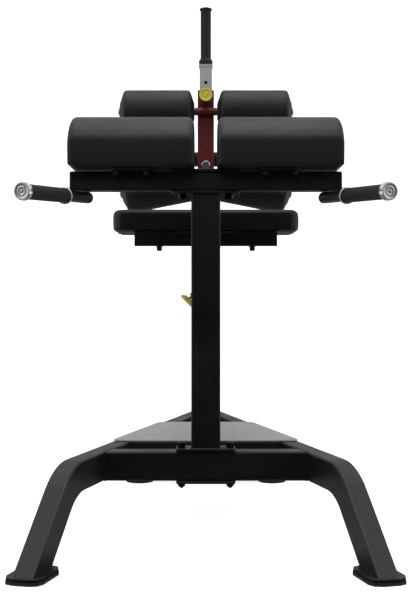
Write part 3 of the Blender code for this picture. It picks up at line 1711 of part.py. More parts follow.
def axle(name, middle, fall):
    """A steel bar through both rollers, with a domed cap on each end that keeps them on."""
    left = [cross_rings(middle, radius, reach, fall)[0] for reach, radius in AXLE_END_FORM]
    right = [cross_rings(middle, radius, reach, fall)[2] for reach, radius in AXLE_END_FORM]
    knee = cross_rings(middle, AXLE_RADIUS, 0.0, fall)[1]
    shape = skin(left + [knee] + right[::-1])
    return piece(name, CHROME, [shape], mast_point(SLEEVE_BOTTOM), ankle_body)


axle("upper_axle", UPPER_MIDDLE, 0.0)
axle("lower_axle", LOWER_MIDDLE, LOWER_AXLE_FALL)

# End face of a roller from its rim to its hub, both as shares of the radius: (radius, distance in)
ROLLER_END_FORM = [(1.0, 0.37), (0.985, 0.27), (0.93, 0.19), (0.78, 0.145), (0.54, 0.065), (0.33, 0.0)]


def roller(name, middle, axis):
    ends = [(ROLLER_RADIUS * share, ROLLER_RADIUS * inset) for share, inset in ROLLER_END_FORM]
    stations = [(ROLLER_START + inset, radius) for radius, inset in ends[::-1]]
    stations += [(ROLLER_END - inset, radius) for radius, inset in ends]
    body = hold(f"{name}_spin", middle, ankle_body)
    shape = sleeve(middle, axis, stations, AXLE_RADIUS + ROLLER_BORE_PLAY, ROLLER_SIDES)
    return piece(name, FOAM, [shape], middle, body, smooth=35)


roller("roller_upper_left", UPPER_MIDDLE, -RIGHT)
roller("roller_upper_right", UPPER_MIDDLE, RIGHT)
roller("roller_lower_left", LOWER_MIDDLE, lower_axis(-1))
roller("roller_lower_right", LOWER_MIDDLE, lower_axis(1))


# Foot bar behind the mast

piece(
    "foot_bar",
    RUBBER,
    [
        rod(
            FOOT_BAR_MIDDLE - RIGHT * FOOT_BAR_HALF_LENGTH,
            RIGHT,
            [
                (0, FOOT_BAR_RADIUS * 0.75),
                (0.003, FOOT_BAR_RADIUS * 0.95),
                (0.008, FOOT_BAR_RADIUS),
                (2 * FOOT_BAR_HALF_LENGTH - 0.008, FOOT_BAR_RADIUS),
                (2 * FOOT_BAR_HALF_LENGTH - 0.003, FOOT_BAR_RADIUS * 0.95),
                (2 * FOOT_BAR_HALF_LENGTH, FOOT_BAR_RADIUS * 0.75),
            ],
        )
    ],
    mast_point(SLEEVE_BOTTOM),
    ankle_body,
)


# Height pin in front of the sleeve

FRONT = -BACK
height_pin_at = Vector((0, SLEEVE_FRONT, HEIGHT_PIN_Z))
height_knob_at = GAP + HEIGHT_BARREL_LENGTH + HEIGHT_KNOB_STANDOFF
height_pin_body = hold("height_pin_axis", height_pin_at, ankle_body)
piece(
    "height_pin_barrel",
    BLACK_PLASTIC,
    [
        barrel(
            height_pin_at + FRONT * GAP, FRONT, HEIGHT_BARREL_LENGTH, HEIGHT_PIN_RADIUS + HOLE_PLAY
        )
    ],
    mast_point(SLEEVE_BOTTOM),
    ankle_body,
)
height_nose = SLEEVE_FRONT - (MAST_FRONT - GAP)
piece(
    "height_pin",
    ZINC,
    [
        pull_pin(
            height_pin_at + FRONT * height_nose,
            FRONT,
            height_knob_at + KNOB_THICKNESS - 0.0085 - height_nose,
            HEIGHT_PIN_RADIUS,
        )
    ],
    height_pin_at,
    height_pin_body,
)
piece(
    "height_knob",
    YELLOW_PLASTIC,
    [pull_knob(height_pin_at + FRONT * height_knob_at, FRONT, HEIGHT_KNOB_RADIUS, HEIGHT_PIN_RADIUS)],
    height_pin_at,
    height_pin_body,
)


# Putting the origin on the floor, under the middle of the whole machine

bpy.context.view_layer.update()
graph = bpy.context.evaluated_depsgraph_get()
depths = []
for obj in bpy.context.scene.objects:
    if obj.type == "MESH" and not obj.hide_render:
        seen = obj.evaluated_get(graph)
        depths += [(seen.matrix_world @ Vector(corner)).y for corner in seen.bound_box]
MACHINE.location.y = -(min(depths) + max(depths)) / 2
bpy.context.view_layer.update()
print("machine origin offset", round(MACHINE.location.y, 6), "depth", round(max(depths) - min(depths), 4))
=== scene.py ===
"""Looks of a glute ham developer: studio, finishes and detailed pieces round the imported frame."""

from math import atan2, cos, pi, radians, sin, tan

import bmesh
import bpy
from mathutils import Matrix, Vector, noise


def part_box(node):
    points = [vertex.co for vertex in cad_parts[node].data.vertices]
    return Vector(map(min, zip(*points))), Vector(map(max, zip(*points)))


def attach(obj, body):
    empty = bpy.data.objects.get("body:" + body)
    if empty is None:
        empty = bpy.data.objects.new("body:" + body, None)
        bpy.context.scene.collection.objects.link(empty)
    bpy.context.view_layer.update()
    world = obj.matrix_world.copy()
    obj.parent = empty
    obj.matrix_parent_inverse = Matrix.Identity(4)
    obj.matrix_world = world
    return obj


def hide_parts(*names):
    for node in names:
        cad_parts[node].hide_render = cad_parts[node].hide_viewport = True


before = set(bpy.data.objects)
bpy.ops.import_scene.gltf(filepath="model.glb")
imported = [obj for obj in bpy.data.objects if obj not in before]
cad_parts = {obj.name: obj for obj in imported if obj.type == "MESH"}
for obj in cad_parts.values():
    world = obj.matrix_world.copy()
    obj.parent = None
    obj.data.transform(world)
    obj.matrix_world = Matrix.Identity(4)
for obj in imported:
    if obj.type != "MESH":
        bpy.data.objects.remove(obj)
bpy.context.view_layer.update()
scene = bpy.context.scene

# Studio
# A level camera stands square to the machine, a little under half its height and about three
# metres off, on a white sweep that rises behind. Its side shift centres the view as photographed.

PICTURE_HEIGHT = 593
FOCAL_PIXELS = 1100
SENSOR = 36
CAMERA_PLACE = (0, -3.10225, 0.627)
MIDDLE_PIXELS_LEFT = 2.2


def add_object(name, data):
    """A new object in the scene."""
    made = bpy.data.objects.new(name, data)
    scene.collection.objects.link(made)
    return made


camera = add_object("camera", bpy.data.cameras.new("camera"))
camera.data.sensor_width = SENSOR
camera.data.lens = SENSOR * FOCAL_PIXELS / PICTURE_HEIGHT
camera.data.shift_x = MIDDLE_PIXELS_LEFT / PICTURE_HEIGHT
camera.location = CAMERA_PLACE
camera.rotation_euler = (pi / 2, 0, 0)
scene.camera = camera
scene.view_settings.view_transform = "Standard"


def linear(colour):
    """Linear RGBA of an sRGB hex colour."""
    shares = [int(colour[i : i + 2], 16) / 255 for i in (0, 2, 4)]
    return (*[s / 12.92 if s <= 0.04045 else ((s + 0.055) / 1.055) ** 2.4 for s in shares], 1)


def add_node(tree, kind, settings=None, links=None):
    """Adds a node: settings fill its sockets or own options, links join sockets to other nodes."""
    node = tree.nodes.new(kind)
    for key, value in (settings or {}).items():
        if isinstance(key, int) or key in node.inputs:
            node.inputs[key].default_value = value
        else:
            setattr(node, key, value)
    for key, (source, output) in (links or {}).items():
        tree.links.new(source.outputs[output], node.inputs[key])
    return node


def surface(name, settings):
    """A material with one Principled shader: the material, its node tree and the shader."""
    material = bpy.data.materials.new(name)
    material.use_nodes = True
    tree = material.node_tree
    shader = tree.nodes["Principled BSDF"]
    for key, value in settings.items():
        shader.inputs[key].default_value = value
    return material, tree, shader


def background_rays(tree):
    """A node that is 1 for straight, mirrored and refracted rays, which show the background."""
    path = add_node(tree, "ShaderNodeLightPath")
    most = {"operation": "MAXIMUM"}
    straight = {0: (path, "Is Camera Ray"), 1: (path, "Is Glossy Ray")}
    seen = add_node(tree, "ShaderNodeMath", most, straight)
    return add_node(tree, "ShaderNodeMath", most, {0: (seen, 0), 1: (path, "Is Transmission Ray")})


MILLIMETRE = 0.001


def hung_sheet(name, half_width, profile):
    """A sheet across the studio that follows a profile of (y, z) points."""
    mesh = bpy.data.meshes.new(name)
    mesh.from_pydata(
        [(side * half_width, y, z) for y, z in profile for side in (-1, 1)],
        [],
        [(2 * i, 2 * i + 1, 2 * i + 3, 2 * i + 2) for i in range(len(profile) - 1)],
    )
    return add_object(name, mesh)


SWEEP_HALF_WIDTH = 9
SWEEP_FRONT = -9
SWEEP_REAR = 8
SWEEP_RADIUS = 3
SWEEP_TOP = 7
SWEEP_STEPS = 12

profile = [(SWEEP_FRONT, 0)]
for i in range(SWEEP_STEPS + 1):
    turn = pi / 2 * i / SWEEP_STEPS
    profile.append((SWEEP_REAR - SWEEP_RADIUS * (1 - sin(turn)), SWEEP_RADIUS * (1 - cos(turn))))
profile.append((SWEEP_REAR, SWEEP_TOP))
sweep = hung_sheet("studio_sweep", SWEEP_HALF_WIDTH, profile)

# Matt white studio paper: its own diffuse white takes the machine's shadow, and a share of plain
# white in the background rays lifts the rest of it to the white of the picture.
PAPER_LIFT = 0.76
paper, tree, shader = surface(
    "white_studio_paper",
    {"Base Color": linear("F4F4F4"), "Roughness": 0.9, "Emission Color": linear("FFFFFF")},
)
times = {"operation": "MULTIPLY", 1: PAPER_LIFT}
lift = add_node(tree, "ShaderNodeMath", times, {0: (background_rays(tree), 0)})
tree.links.new(lift.outputs[0], shader.inputs["Emission Strength"])
sweep.data.materials.append(paper)
sweep.data.shade_smooth()

# Room light from all sides is a dim grey, and the background rays see it white.
ROOM_LIGHT = 0.62
world = bpy.data.worlds.new("studio_room")
scene.world = world
world.use_nodes = True
tree = world.node_tree
room = tree.nodes["Background"]
room.inputs["Color"].default_value = linear("FFFFFF")
light = {"To Min": ROOM_LIGHT, "To Max": 1.0}
strength = add_node(tree, "ShaderNodeMapRange", light, {"Value": (background_rays(tree), 0)})
tree.links.new(strength.outputs[0], room.inputs["Strength"])

# Softboxes: (name, place, size, watts), each turned to the middle of the machine.
SOFTBOXES = [
    ("overhead_softbox", (0, -0.1, 3.6), 1.5, 25),
    ("front_softbox", (-0.4, -2.9, 3.2), 1.8, 20),
    ("left_softbox", (-3.2, -1.6, 2.2), 1.8, 18),
    ("right_softbox", (3.2, -1.4, 2.2), 1.8, 15),
]
AIM = Vector((0, 0, 0.7))
for name, place, size, watts in SOFTBOXES:
    softbox = add_object(name, bpy.data.lights.new(name, "AREA"))
    softbox.data.shape = "SQUARE"
    softbox.data.size = size
    softbox.data.energy = watts
    softbox.location = place
    softbox.rotation_euler = (AIM - Vector(place)).to_track_quat("-Z", "Y").to_euler()

# Flags that only mirrored rays meet. A black one hangs behind the camera and runs forward on the
# floor, which keeps the machine's fronts black. Grey ones behind and under the machine calm its
# tops and sides. Each has its name, colour, half width and profile, as (y, z) points.
FLAGS = [
    (
        "black_flag",
        "050505",
        7.5,
        [(-0.5, 0.004), (-4.6, 0.004), (-5.2, 0.3), (-5.4, 1.0), (-5.4, 6.0)],
    ),
    ("rear_flag", "C6C6C6", 5.0, [(2.4, 0.004), (3.8, 0.3), (4.0, 1.0), (4.0, 4.0)]),
    ("floor_flag", "B8B8B8", 2.0, [(-0.5, 0.003), (2.2, 0.003)]),
]
for name, colour, half_width, profile in FLAGS:
    flag = hung_sheet(name, half_width, profile)
    cloth = surface(f"{name}_cloth", {"Base Color": linear(colour), "Roughness": 1.0})[0]
    flag.data.materials.append(cloth)
    flag.visible_camera = flag.visible_diffuse = flag.visible_shadow = False


# Rails, cross-members and stabiliser
# Mild steel box tube, bent, mitred and welded, shot-blasted and coated with a black polyester
# powder that bakes to a fine, dry, slightly pebbled skin.

COAT_PEBBLE = 2.6 * MILLIMETRE  # the real pebble is about 0.8 mm, drawn coarser so that it shows
COAT_CLOUD = 111.1 * MILLIMETRE  # patches where the powder lies thicker
NOISE = "ShaderNodeTexNoise"
VORONOI = "ShaderNodeTexVoronoi"


def texture(tree, kind, settings):
    """A pattern of some kind in the object's own space."""
    place = add_node(tree, "ShaderNodeTexCoord")
    return add_node(tree, kind, settings, {"Vector": (place, "Object")})


def finish(tree, shader, colours, gloss=None, relief=None):
    """Joins patterns to a shader.

    colours is (pattern, colour, second colour), the second colour a random tone in some finishes
    and a painted highlight in others; gloss is (pattern, its map range) for the roughness,
    and relief is (pattern, bump strength, bump height).
    """
    pattern, colour, tone_and_highlight_colour = colours
    mix = {"data_type": "RGBA", 6: linear(colour), 7: linear(tone_and_highlight_colour)}
    mixed = add_node(tree, "ShaderNodeMix", mix, {0: (pattern, 0)})
    tree.links.new(mixed.outputs[2], shader.inputs["Base Color"])
    if gloss:
        pattern, spread = gloss
        spread_node = add_node(tree, "ShaderNodeMapRange", spread, {"Value": (pattern, 0)})
        tree.links.new(spread_node.outputs[0], shader.inputs["Roughness"])
    if relief:
        pattern, strength, height = relief
        depth = {"Strength": strength, "Distance": height}
        bump = add_node(tree, "ShaderNodeBump", depth, {"Height": (pattern, 0)})
        tree.links.new(bump.outputs[0], shader.inputs["Normal"])


def powder_coat(
    name, colour, tone_and_highlight_colour, roughness, pebble=COAT_PEBBLE, relief=0.00045, specular=0.5
):
    """Baked polyester powder: a pebbled skin whose pebble tops carry a painted highlight, with slow
    uneven gloss.
    """
    material, tree, shader = surface(name, {"IOR": 1.5, "Specular IOR Level": specular})
    bumps = texture(tree, NOISE, {"Scale": 1 / pebble, "Detail": 3.0, "Roughness": 0.6})
    drift = texture(tree, NOISE, {"Scale": 1 / COAT_CLOUD, "Detail": 4.0})
    # The highest pebble tops take the lighter colour: a painted highlight, not a colour of the
    # powder.
    painted_glint_mask = add_node(
        tree, "ShaderNodeMapRange", {"From Min": 0.52, "From Max": 0.78}, {"Value": (bumps, 0)}
    )
    spread = {"From Min": 0.3, "From Max": 0.7}
    spread.update({"To Min": roughness - 0.06, "To Max": roughness + 0.08})
    finish(tree, shader, (painted_glint_mask, colour, tone_and_highlight_colour), (drift, spread), (bumps, 0.8, relief))
    return material


def mottled(name, settings, film, colour, tone_and_highlight_colour, gloss, relief=None):
    """A finish whose film, a cloudy pattern's settings, moves its colour and its roughness.

    The relief is None or (kind of pattern, its settings, bump strength, bump height).
    """
    material, tree, shader = surface(name, settings)
    pattern = texture(tree, NOISE, film)
    bumps = (texture(tree, *relief[:2]), *relief[2:]) if relief else None
    spread = {"To Min": gloss[0], "To Max": gloss[1]}
    finish(tree, shader, (pattern, colour, tone_and_highlight_colour), (pattern, spread), bumps)
    return material


def dress(material, *nodes):
    """Gives CAD nodes a better material in all their slots."""
    for node in nodes:
        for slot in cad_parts[node].material_slots:
            slot.material = material


# Its pebble tops carry a painted highlight, a slightly lighter black.
black_powder_coat = powder_coat("black_powder_coat", "080809", "121213", 0.4, specular=0.48)
dress(
    black_powder_coat,
    "rail_left",
    "rail_right",
    "front_crossmember",
    "platform_crossmember",
    "platform_bearer",
    "rail_end_plate",
    "rear_stabiliser",
    "rear_upright",
    "front_upright",
    "base_clamp_plate",
    "cross_beam",
    "handle_bar_left",
    "handle_bar_right",
    "slide_boom",
    "knee_pad_bracket",
    "carriage_sleeve",
    "mast_stem",
)


SHARP_ANGLE = 32


def to_mesh(form, name):
    """Turns a built form into a smooth-shaded mesh that keeps its hard edges."""
    bmesh.ops.recalc_face_normals(form, faces=form.faces)
    mesh = bpy.data.meshes.new(name)
    form.to_mesh(mesh)
    form.free()
    mesh.shade_smooth()
    mesh.set_sharp_from_angle(angle=radians(SHARP_ANGLE))
    return mesh


def add_piece(name, form, material, body, slot, *nodes):
    """Adds a piece, from its form or mesh, that rides on a body and takes the material given; its
    slot argument is not used.

    It stands in for the CAD nodes named, if there are any.
    """
    mesh = to_mesh(form, name) if isinstance(form, bmesh.types.BMesh) else form
    made = add_object(name, mesh)
    mesh.materials.append(material)
    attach(made, body)
    if nodes:
        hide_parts(*nodes)
    return made


def skin(form, rings, joined=False):
    """Faces from ring to ring of points; the ends are closed, or the last ring joins the first."""
    made = [[form.verts.new(point) for point in ring] for ring in rings]
    for low, high in zip(made, made[1:] + (made[:1] if joined else [])):
        for i in range(len(low)):
            j = (i + 1) % len(low)
            form.faces.new((low[i], low[j], high[j], high[i]))
    if not joined:
        form.faces.new(made[0][::-1])
        form.faces.new(made[-1])


def square_ring(middle, half_x, half_y, corner, steps):
    """Points round a rectangle with rounded corners that lies level about a point."""
    ring = []
    for k, (a, b) in enumerate(((1, 1), (-1, 1), (-1, -1), (1, -1))):
        for i in range(steps + 1):
            turn = pi / 2 * (k + i / steps)
            x = a * (half_x - corner) + corner * cos(turn)
            y = b * (half_y - corner) + corner * sin(turn)
            ring.append(middle + Vector((x, y, 0)))
    return ring


def across_of(axis):
    """Two directions square to an axis and to each other."""
    other = Vector((0, 0, 1)) if abs(axis.z) < 0.9 else Vector((0, 1, 0))
    across = axis.cross(other).normalized()
    return across, axis.cross(across).normalized()


def sweep_round(form, path, radii, sides=8, joined=False):
    """A round bar along a path, with one radius for each of its points."""
    count = len(path)
    rings = []
    across = None
    for i, (point, radius) in enumerate(zip(path, radii)):
        before = path[i - 1] if joined or i else path[i]
        after = path[(i + 1) % count] if joined or i < count - 1 else path[i]
        along = (after - before).normalized()
        if across is None:
            across = across_of(along)[0]
        across = (across - along * across.dot(along)).normalized()
        up = along.cross(across)
        turns = [2 * pi * k / sides for k in range(sides)]
        rings.append([point + (across * cos(t) + up * sin(t)) * radius for t in turns])
    skin(form, rings, joined)


BEAD_RADIUS = 0.0022
BEAD_RIPPLE = 0.0040  # real ripples lie 2 mm apart, drawn twice as coarse
BEAD_STEPS = 3  # points to each ripple


def weld_bead(form, corners, joined=True):
    """A line of weld through these corners, with the ripple that the torch's pulses leave."""
    path, radii = [], []
    stretches = list(zip(corners, corners[1:] + (corners[:1] if joined else [])))
    for start, end in [s for s in stretches if (s[1] - s[0]).length > 0]:
        steps = max(2, round((end - start).length / BEAD_RIPPLE * BEAD_STEPS))
        for i in range(steps):
            point = start.lerp(end, i / steps)
            path.append(point)
            uneven = 0.5 * noise.noise(point * 90)
            ripple = abs(sin(pi * i / BEAD_STEPS))
            radii.append(BEAD_RADIUS * (0.86 + 0.14 * ripple + 0.2 * uneven))
    sweep_round(form, path, radii, joined=joined)


RAIL_SPLAY = 0.258  # how far a rail runs inwards for each unit of its length
UPRIGHT_HALF_WIDTH = 0.0375
TUBE_INSET = 0.001  # a bead's middle lies this far inside the faces that it joins

beads = bmesh.new()
for node in ("front_crossmember", "platform_crossmember", "platform_bearer"):
    low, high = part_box(node)
    rear_x = high.x - (high.y - low.y) * RAIL_SPLAY
    for side in (-1, 1):
        front, rear = side * high.x, side * rear_x
        weld_bead(
            beads,
            [
                Vector((front, low.y + TUBE_INSET, low.z + TUBE_INSET)),
                Vector((front, low.y + TUBE_INSET, high.z - TUBE_INSET)),
                Vector((rear, high.y - TUBE_INSET, high.z - TUBE_INSET)),
                Vector((rear, high.y - TUBE_INSET, low.z + TUBE_INSET)),
            ],
        )
add_piece("base_weld_beads", beads, black_powder_coat, "frame", "black_coat")


# Soles and feet
# Moulded black rubber: the front soles are flat pads bonded under the foot plates, the rear feet
# are discs with a step, all matt with a dusty bloom and a fine spark-eroded grain.

RUBBER_GRAIN = 2.2 * MILLIMETRE  # real grain about 0.5 mm
RUBBER_BLOOM = 40 * MILLIMETRE
black_rubber = mottled(
    "black_moulded_rubber",
    {"IOR": 1.5, "Specular IOR Level": 0.3, "Sheen Weight": 0.04},
    {"Scale": 1 / RUBBER_BLOOM, "Detail": 5.0},
    "101010",
    "1D1D1C",
    (0.58, 0.85),
    (NOISE, {"Scale": 1 / RUBBER_GRAIN, "Detail": 2.0}, 0.5, 0.0002),
)
dress(black_rubber, "foot_rubber_left", "foot_rubber_right")

RIGHT = Vector((1, 0, 0))
BACK = Vector((0, 1, 0))
UP = Vector((0, 0, 1))


def turned(form, start, axis, stations, sides=48):
    """A lathe-turned form: (distance along the axis, radius) stations, the radius a number or a
    function of the angle round the axis."""
    across, up = across_of(axis)
    rings = []
    for along, radius in stations:
        ring = []
        for k in range(sides):
            turn = 2 * pi * k / sides
            r = radius(turn) if callable(radius) else radius
            ring.append(start + axis * along + (across * cos(turn) + up * sin(turn)) * r)
        rings.append(ring)
    skin(form, rings)


def rounded(radius, length, edge, steps=4):
    """Stations of a turned pad, cap or roller whose two rims are rounded by the edge."""
    turns = [pi / 2 * i / steps for i in range(steps + 1)]
    low = [(edge * (1 - sin(t)), radius - edge * (1 - cos(t))) for t in turns[::-1]]
    return low + [(length - along, r) for along, r in low[::-1]]


FOOT_STEP = 0.35  # share of its height at which a rear foot steps in

for word in ("left", "right"):
    node = f"rear_foot_{word}"
    low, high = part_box(node)
    radius, height = (high.x - low.x) / 2, high.z - low.z
    foot = bmesh.new()
    turned(
        foot,
        Vector(((low.x + high.x) / 2, (low.y + high.y) / 2, low.z)),
        UP,
        [
            (0, radius * 0.90),
            (0.001, radius * 0.965),
            (0.003, radius),
            (height * FOOT_STEP, radius),
            (height * (FOOT_STEP + 0.12), radius * 0.985),
            (height * 0.85, radius * 0.93),
            (height - 0.001, radius * 0.90),
            (height, radius * 0.87),
        ],
        72,
    )
    add_piece(f"{node}_moulding", foot, black_rubber, "frame", "rubber", node)


# Step platform and its screws
# A grey-coated steel plate to climb up by, held down by four black pan-head screws.
# Its coat is a pale silver powder with a fine sandy grip that shoes polish here and there,
# and the tops of its sand carry a painted highlight.

grey_grip_coat = powder_coat("grey_grip_coat", "B2B2B2", "C9C9C8", 0.52, 2.2 * MILLIMETRE, 0.0002)
dress(grey_grip_coat, "platform_plate")

# Steel with a black passivated zinc: a dark, slightly cloudy metal with a low shine.
PASSIVATION_CLOUD = 6.25 * MILLIMETRE  # real clouds are about 3 mm
black_steel = mottled(
    "black_zinc_steel",
    {"Metallic": 1.0},
    {"Scale": 1 / PASSIVATION_CLOUD, "Detail": 4.0},
    "131315",
    "26262A",
    (0.28, 0.5),
)

SCREW_X = 0.082
SCREW_COVER = 0.0080  # each screw here covers the smaller one in the CAD
SCREW_RISE = 0.0032
PLATE_THICKNESS = 0.005
plate_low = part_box("platform_plate")[0]
screws = bmesh.new()
for node in ("platform_crossmember", "platform_bearer"):
    low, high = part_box(node)
    for side in (-1, 1):
        head = Vector((side * SCREW_X, (low.y + high.y) / 2, plate_low.z + PLATE_THICKNESS))
        turned(
            screws,
            head,
            UP,
            [(0, SCREW_COVER), (0.0012, SCREW_COVER), (0.0024, SCREW_COVER * 0.82)]
            + [(SCREW_RISE, SCREW_COVER * 0.45), (SCREW_RISE - 0.0009, SCREW_COVER * 0.36)]
            + [(SCREW_RISE - 0.0012, 0.0004)],
            24,
        )
add_piece("platform_screws", screws, black_steel, "frame", "black_steel")


# Front upright, clamp plate and base bolts
# A 75 x 60 mm tube with a flange welded on each end. The lower flange and a plate under the
# cross-member clamp it between two through-bolts with washers and lock nuts, all black.

BASE_FLANGE = 0.0077
TOP_FLANGE = 0.006
FLANGE_OVERHANG = 0.006


def upright_ring(node, z, half_width, overhang):
    """Corners of a tube's outline at a height, from the box of its node."""
    low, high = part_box(node)
    x = half_width - TUBE_INSET
    front, rear = low.y + overhang + TUBE_INSET, high.y - overhang - TUBE_INSET
    return [Vector((a * x, y, z)) for a, y in ((-1, front), (1, front), (1, rear), (-1, rear))]


low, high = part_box("front_upright")
beads = bmesh.new()
for z in (low.z + BASE_FLANGE, high.z - TOP_FLANGE):
    weld_bead(beads, upright_ring("front_upright", z, UPRIGHT_HALF_WIDTH, FLANGE_OVERHANG))
add_piece("upright_weld_beads", beads, black_powder_coat, "frame", "black_coat")


def hexagon_head(form, start, axis, height, across_flats, crown=0.94):
    """A hexagon whose far face is chamfered to a circle, as a bolt head or nut."""
    across, up = across_of(axis)
    half = across_flats / 2
    turns = [2 * pi * k / 36 for k in range(36)]
    reach = [half / cos((t + pi / 6) % (pi / 3) - pi / 6) for t in turns]
    fall = [(r - half * crown) * tan(radians(30)) for r in reach]
    rings = [
        [(r, 0) for r in reach],
        [(r, height - f) for r, f in zip(reach, fall)],
        [(half * crown, height) for r in reach],
        [(half * 0.3, height) for r in reach],
    ]
    skin(
        form,
        [
            [
                start + axis * along + (across * cos(t) + up * sin(t)) * r
                for t, (r, along) in zip(turns, ring)
            ]
            for ring in rings
        ],
    )


BOLT_RADIUS = 0.006
NUT_ACROSS_FLATS = 0.019
NUT_HEIGHT = 0.010
WASHER_RADIUS = 0.0115
WASHER_THICKNESS = 0.002
THREAD_PITCH = 0.0018  # the real M12 pitch


def thread(form, start, axis, length, radius):
    """The end of a threaded rod, its ridges as rings, with a chamfered tip."""
    stations = [(0, radius * 0.9)]
    count = int(length / THREAD_PITCH)
    for i in range(count):
        stations.append(((i + 0.25) * THREAD_PITCH, radius))
        stations.append(((i + 0.75) * THREAD_PITCH, radius * 0.88))
    chamfer = max(length - 0.001, stations[-1][0] + 0.0002)
    turned(form, start, axis, stations + [(chamfer, radius * 0.9), (length, radius * 0.7)], 24)


upright_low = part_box("front_upright")[0].z
for word in ("left", "right"):
    node = f"base_bolt_{word}"
    low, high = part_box(node)
    middle = Vector(((low.x + high.x) / 2, (low.y + high.y) / 2, 0))
    flange_top = upright_low + BASE_FLANGE
    clamp_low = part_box("base_clamp_plate")[0].z
    bolt = bmesh.new()
    for seat, axis, tip in ((flange_top, UP, high.z), (clamp_low, -UP, low.z)):
        start = middle + UP * seat
        turned(bolt, start, axis, rounded(WASHER_RADIUS, WASHER_THICKNESS, 0.0004, 2), 36)
        hexagon_head(
            bolt, start + axis * WASHER_THICKNESS, axis, NUT_HEIGHT * (1 if axis.z > 0 else 0.85),
            NUT_ACROSS_FLATS,
        )
        grip = WASHER_THICKNESS + NUT_HEIGHT * 0.8
        thread(bolt, start + axis * grip, axis, abs(tip - seat) - grip, BOLT_RADIUS)
    turned(
        bolt, middle + UP * (clamp_low + 0.001), UP,
        [(0, BOLT_RADIUS), (flange_top - clamp_low - 0.002, BOLT_RADIUS)], 24,
    )
    add_piece(f"{node}_set", bolt, black_steel, "frame", "zinc", node)


# Cross beam, its bolts and plugs
# A 50 mm square tube across the top, with a plate in the middle and one under each pad welded on.
# Countersunk bolts hold it down on the upright, and hexagon bolts from below hold the pads.

BEAM_HEIGHT = 0.050
PAD_PLATE_X = 0.190
PAD_PLATE_HALF_WIDTH = 0.0505
PAD_BOLT_SPREAD = 0.038
PAD_BOLT_INSET = 0.014
PAD_BOLT_FLATS = 0.0134
PAD_BOLT_HEAD = 0.0134
PAD_WASHER_RADIUS = 0.0098
PAD_WASHER_THICKNESS = 0.0016


def hung_bolt(form, seat):
    """A washer and a hexagon bolt head under a face."""
    turned(form, seat, -UP, rounded(PAD_WASHER_RADIUS, PAD_WASHER_THICKNESS, 0.0004, 2), 32)
    head_seat = seat - UP * PAD_WASHER_THICKNESS
    hexagon_head(form, head_seat, -UP, PAD_BOLT_HEAD - PAD_WASHER_THICKNESS, PAD_BOLT_FLATS)


beam_low, beam_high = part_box("cross_beam")
beam_top = beam_low.z + BEAM_HEIGHT
plug_low, plug_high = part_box("beam_plug_left")
beam_front, beam_rear = plug_low.y - 0.0005, plug_high.y + 0.0005

beads = bmesh.new()
for side in (-1, 1):
    for y in (beam_front, beam_rear):
        start, end = [side * (PAD_PLATE_X + a * PAD_PLATE_HALF_WIDTH) for a in (-1, 1)]
        weld_bead(beads, [Vector((start, y, beam_top)), Vector((end, y, beam_top))], joined=False)
add_piece("beam_weld_beads", beads, black_powder_coat, "frame", "black_coat")

bolts = bmesh.new()
for side in (-1, 1):
    for spread in (-PAD_BOLT_SPREAD, PAD_BOLT_SPREAD):
        for y in (beam_low.y + PAD_BOLT_INSET, beam_high.y - PAD_BOLT_INSET):
            hung_bolt(bolts, Vector((side * (PAD_PLATE_X + spread), y, beam_top)))
add_piece("pad_bolt_heads", bolts, black_steel, "frame", "black_steel")

for word in ("left", "right"):
    dress(black_steel, f"top_bolt_{word}")

# Moulded in an eroded tool: an even dark grey-black with a soft, wide sheen.
PLASTIC_GRAIN = 1.8 * MILLIMETRE  # the real eroded grain is about 0.3 mm
eroded = {"Scale": 1 / PLASTIC_GRAIN}
black_plastic = mottled(
    "black_moulded_polyethylene",
    {"IOR": 1.5},
    eroded,
    "161616",
    "212121",
    (0.38, 0.55),
    (NOISE, eroded, 0.4, 0.0001),
)
dress(black_plastic, "beam_plug_left", "beam_plug_right", "rear_upright_plug")
dress(black_plastic, "carriage_liner", "ankle_liner")


# Thigh pads
# Moulded urethane foam on a plywood board under black expanded vinyl, drawn tight over a full
# crown and turned under at the bottom, with small folds where the cover goes round the corners.

# Printed with a leather grain while hot: soft pebbles between fine creases, given as bumps,
# with painted shade in the creases and a painted highlight on the pebble tops.
VINYL_GRAIN = 2.8 * MILLIMETRE  # real leather print about 1.2 mm from crease to crease
CREASE_WANDER = 5.5556 * MILLIMETRE
VINYL_CLOUD = 142.86 * MILLIMETRE
black_vinyl, tree, shader = surface(
    "black_expanded_vinyl", {"IOR": 1.5, "Specular IOR Level": 0.27}
)
place = add_node(tree, "ShaderNodeTexCoord")
warp = texture(tree, NOISE, {"Scale": 1 / CREASE_WANDER, "Detail": 2.0})
wander = {"data_type": "VECTOR", 0: 0.0015}
bent = add_node(tree, "ShaderNodeMix", wander, {4: (place, "Object"), 5: (warp, 1)})
edges = {"feature": "DISTANCE_TO_EDGE", "Scale": 1 / VINYL_GRAIN}
creases = add_node(tree, VORONOI, edges, {"Vector": (bent, 1)})
rise = {"From Max": 0.22}
pebble_relief_and_shade = add_node(tree, "ShaderNodeMapRange", rise, {"Value": (creases, "Distance")})
drift = texture(tree, NOISE, {"Scale": 1 / VINYL_CLOUD, "Detail": 3.0})
# The creases take the darker colour as painted shade, and the pebble tops the lighter one as a
# painted highlight.
finish(
    tree,
    shader,
    (pebble_relief_and_shade, "101010", "1B1B1B"),
    (drift, {"To Min": 0.40, "To Max": 0.56}),
    (pebble_relief_and_shade, 0.45, 0.0002),
)

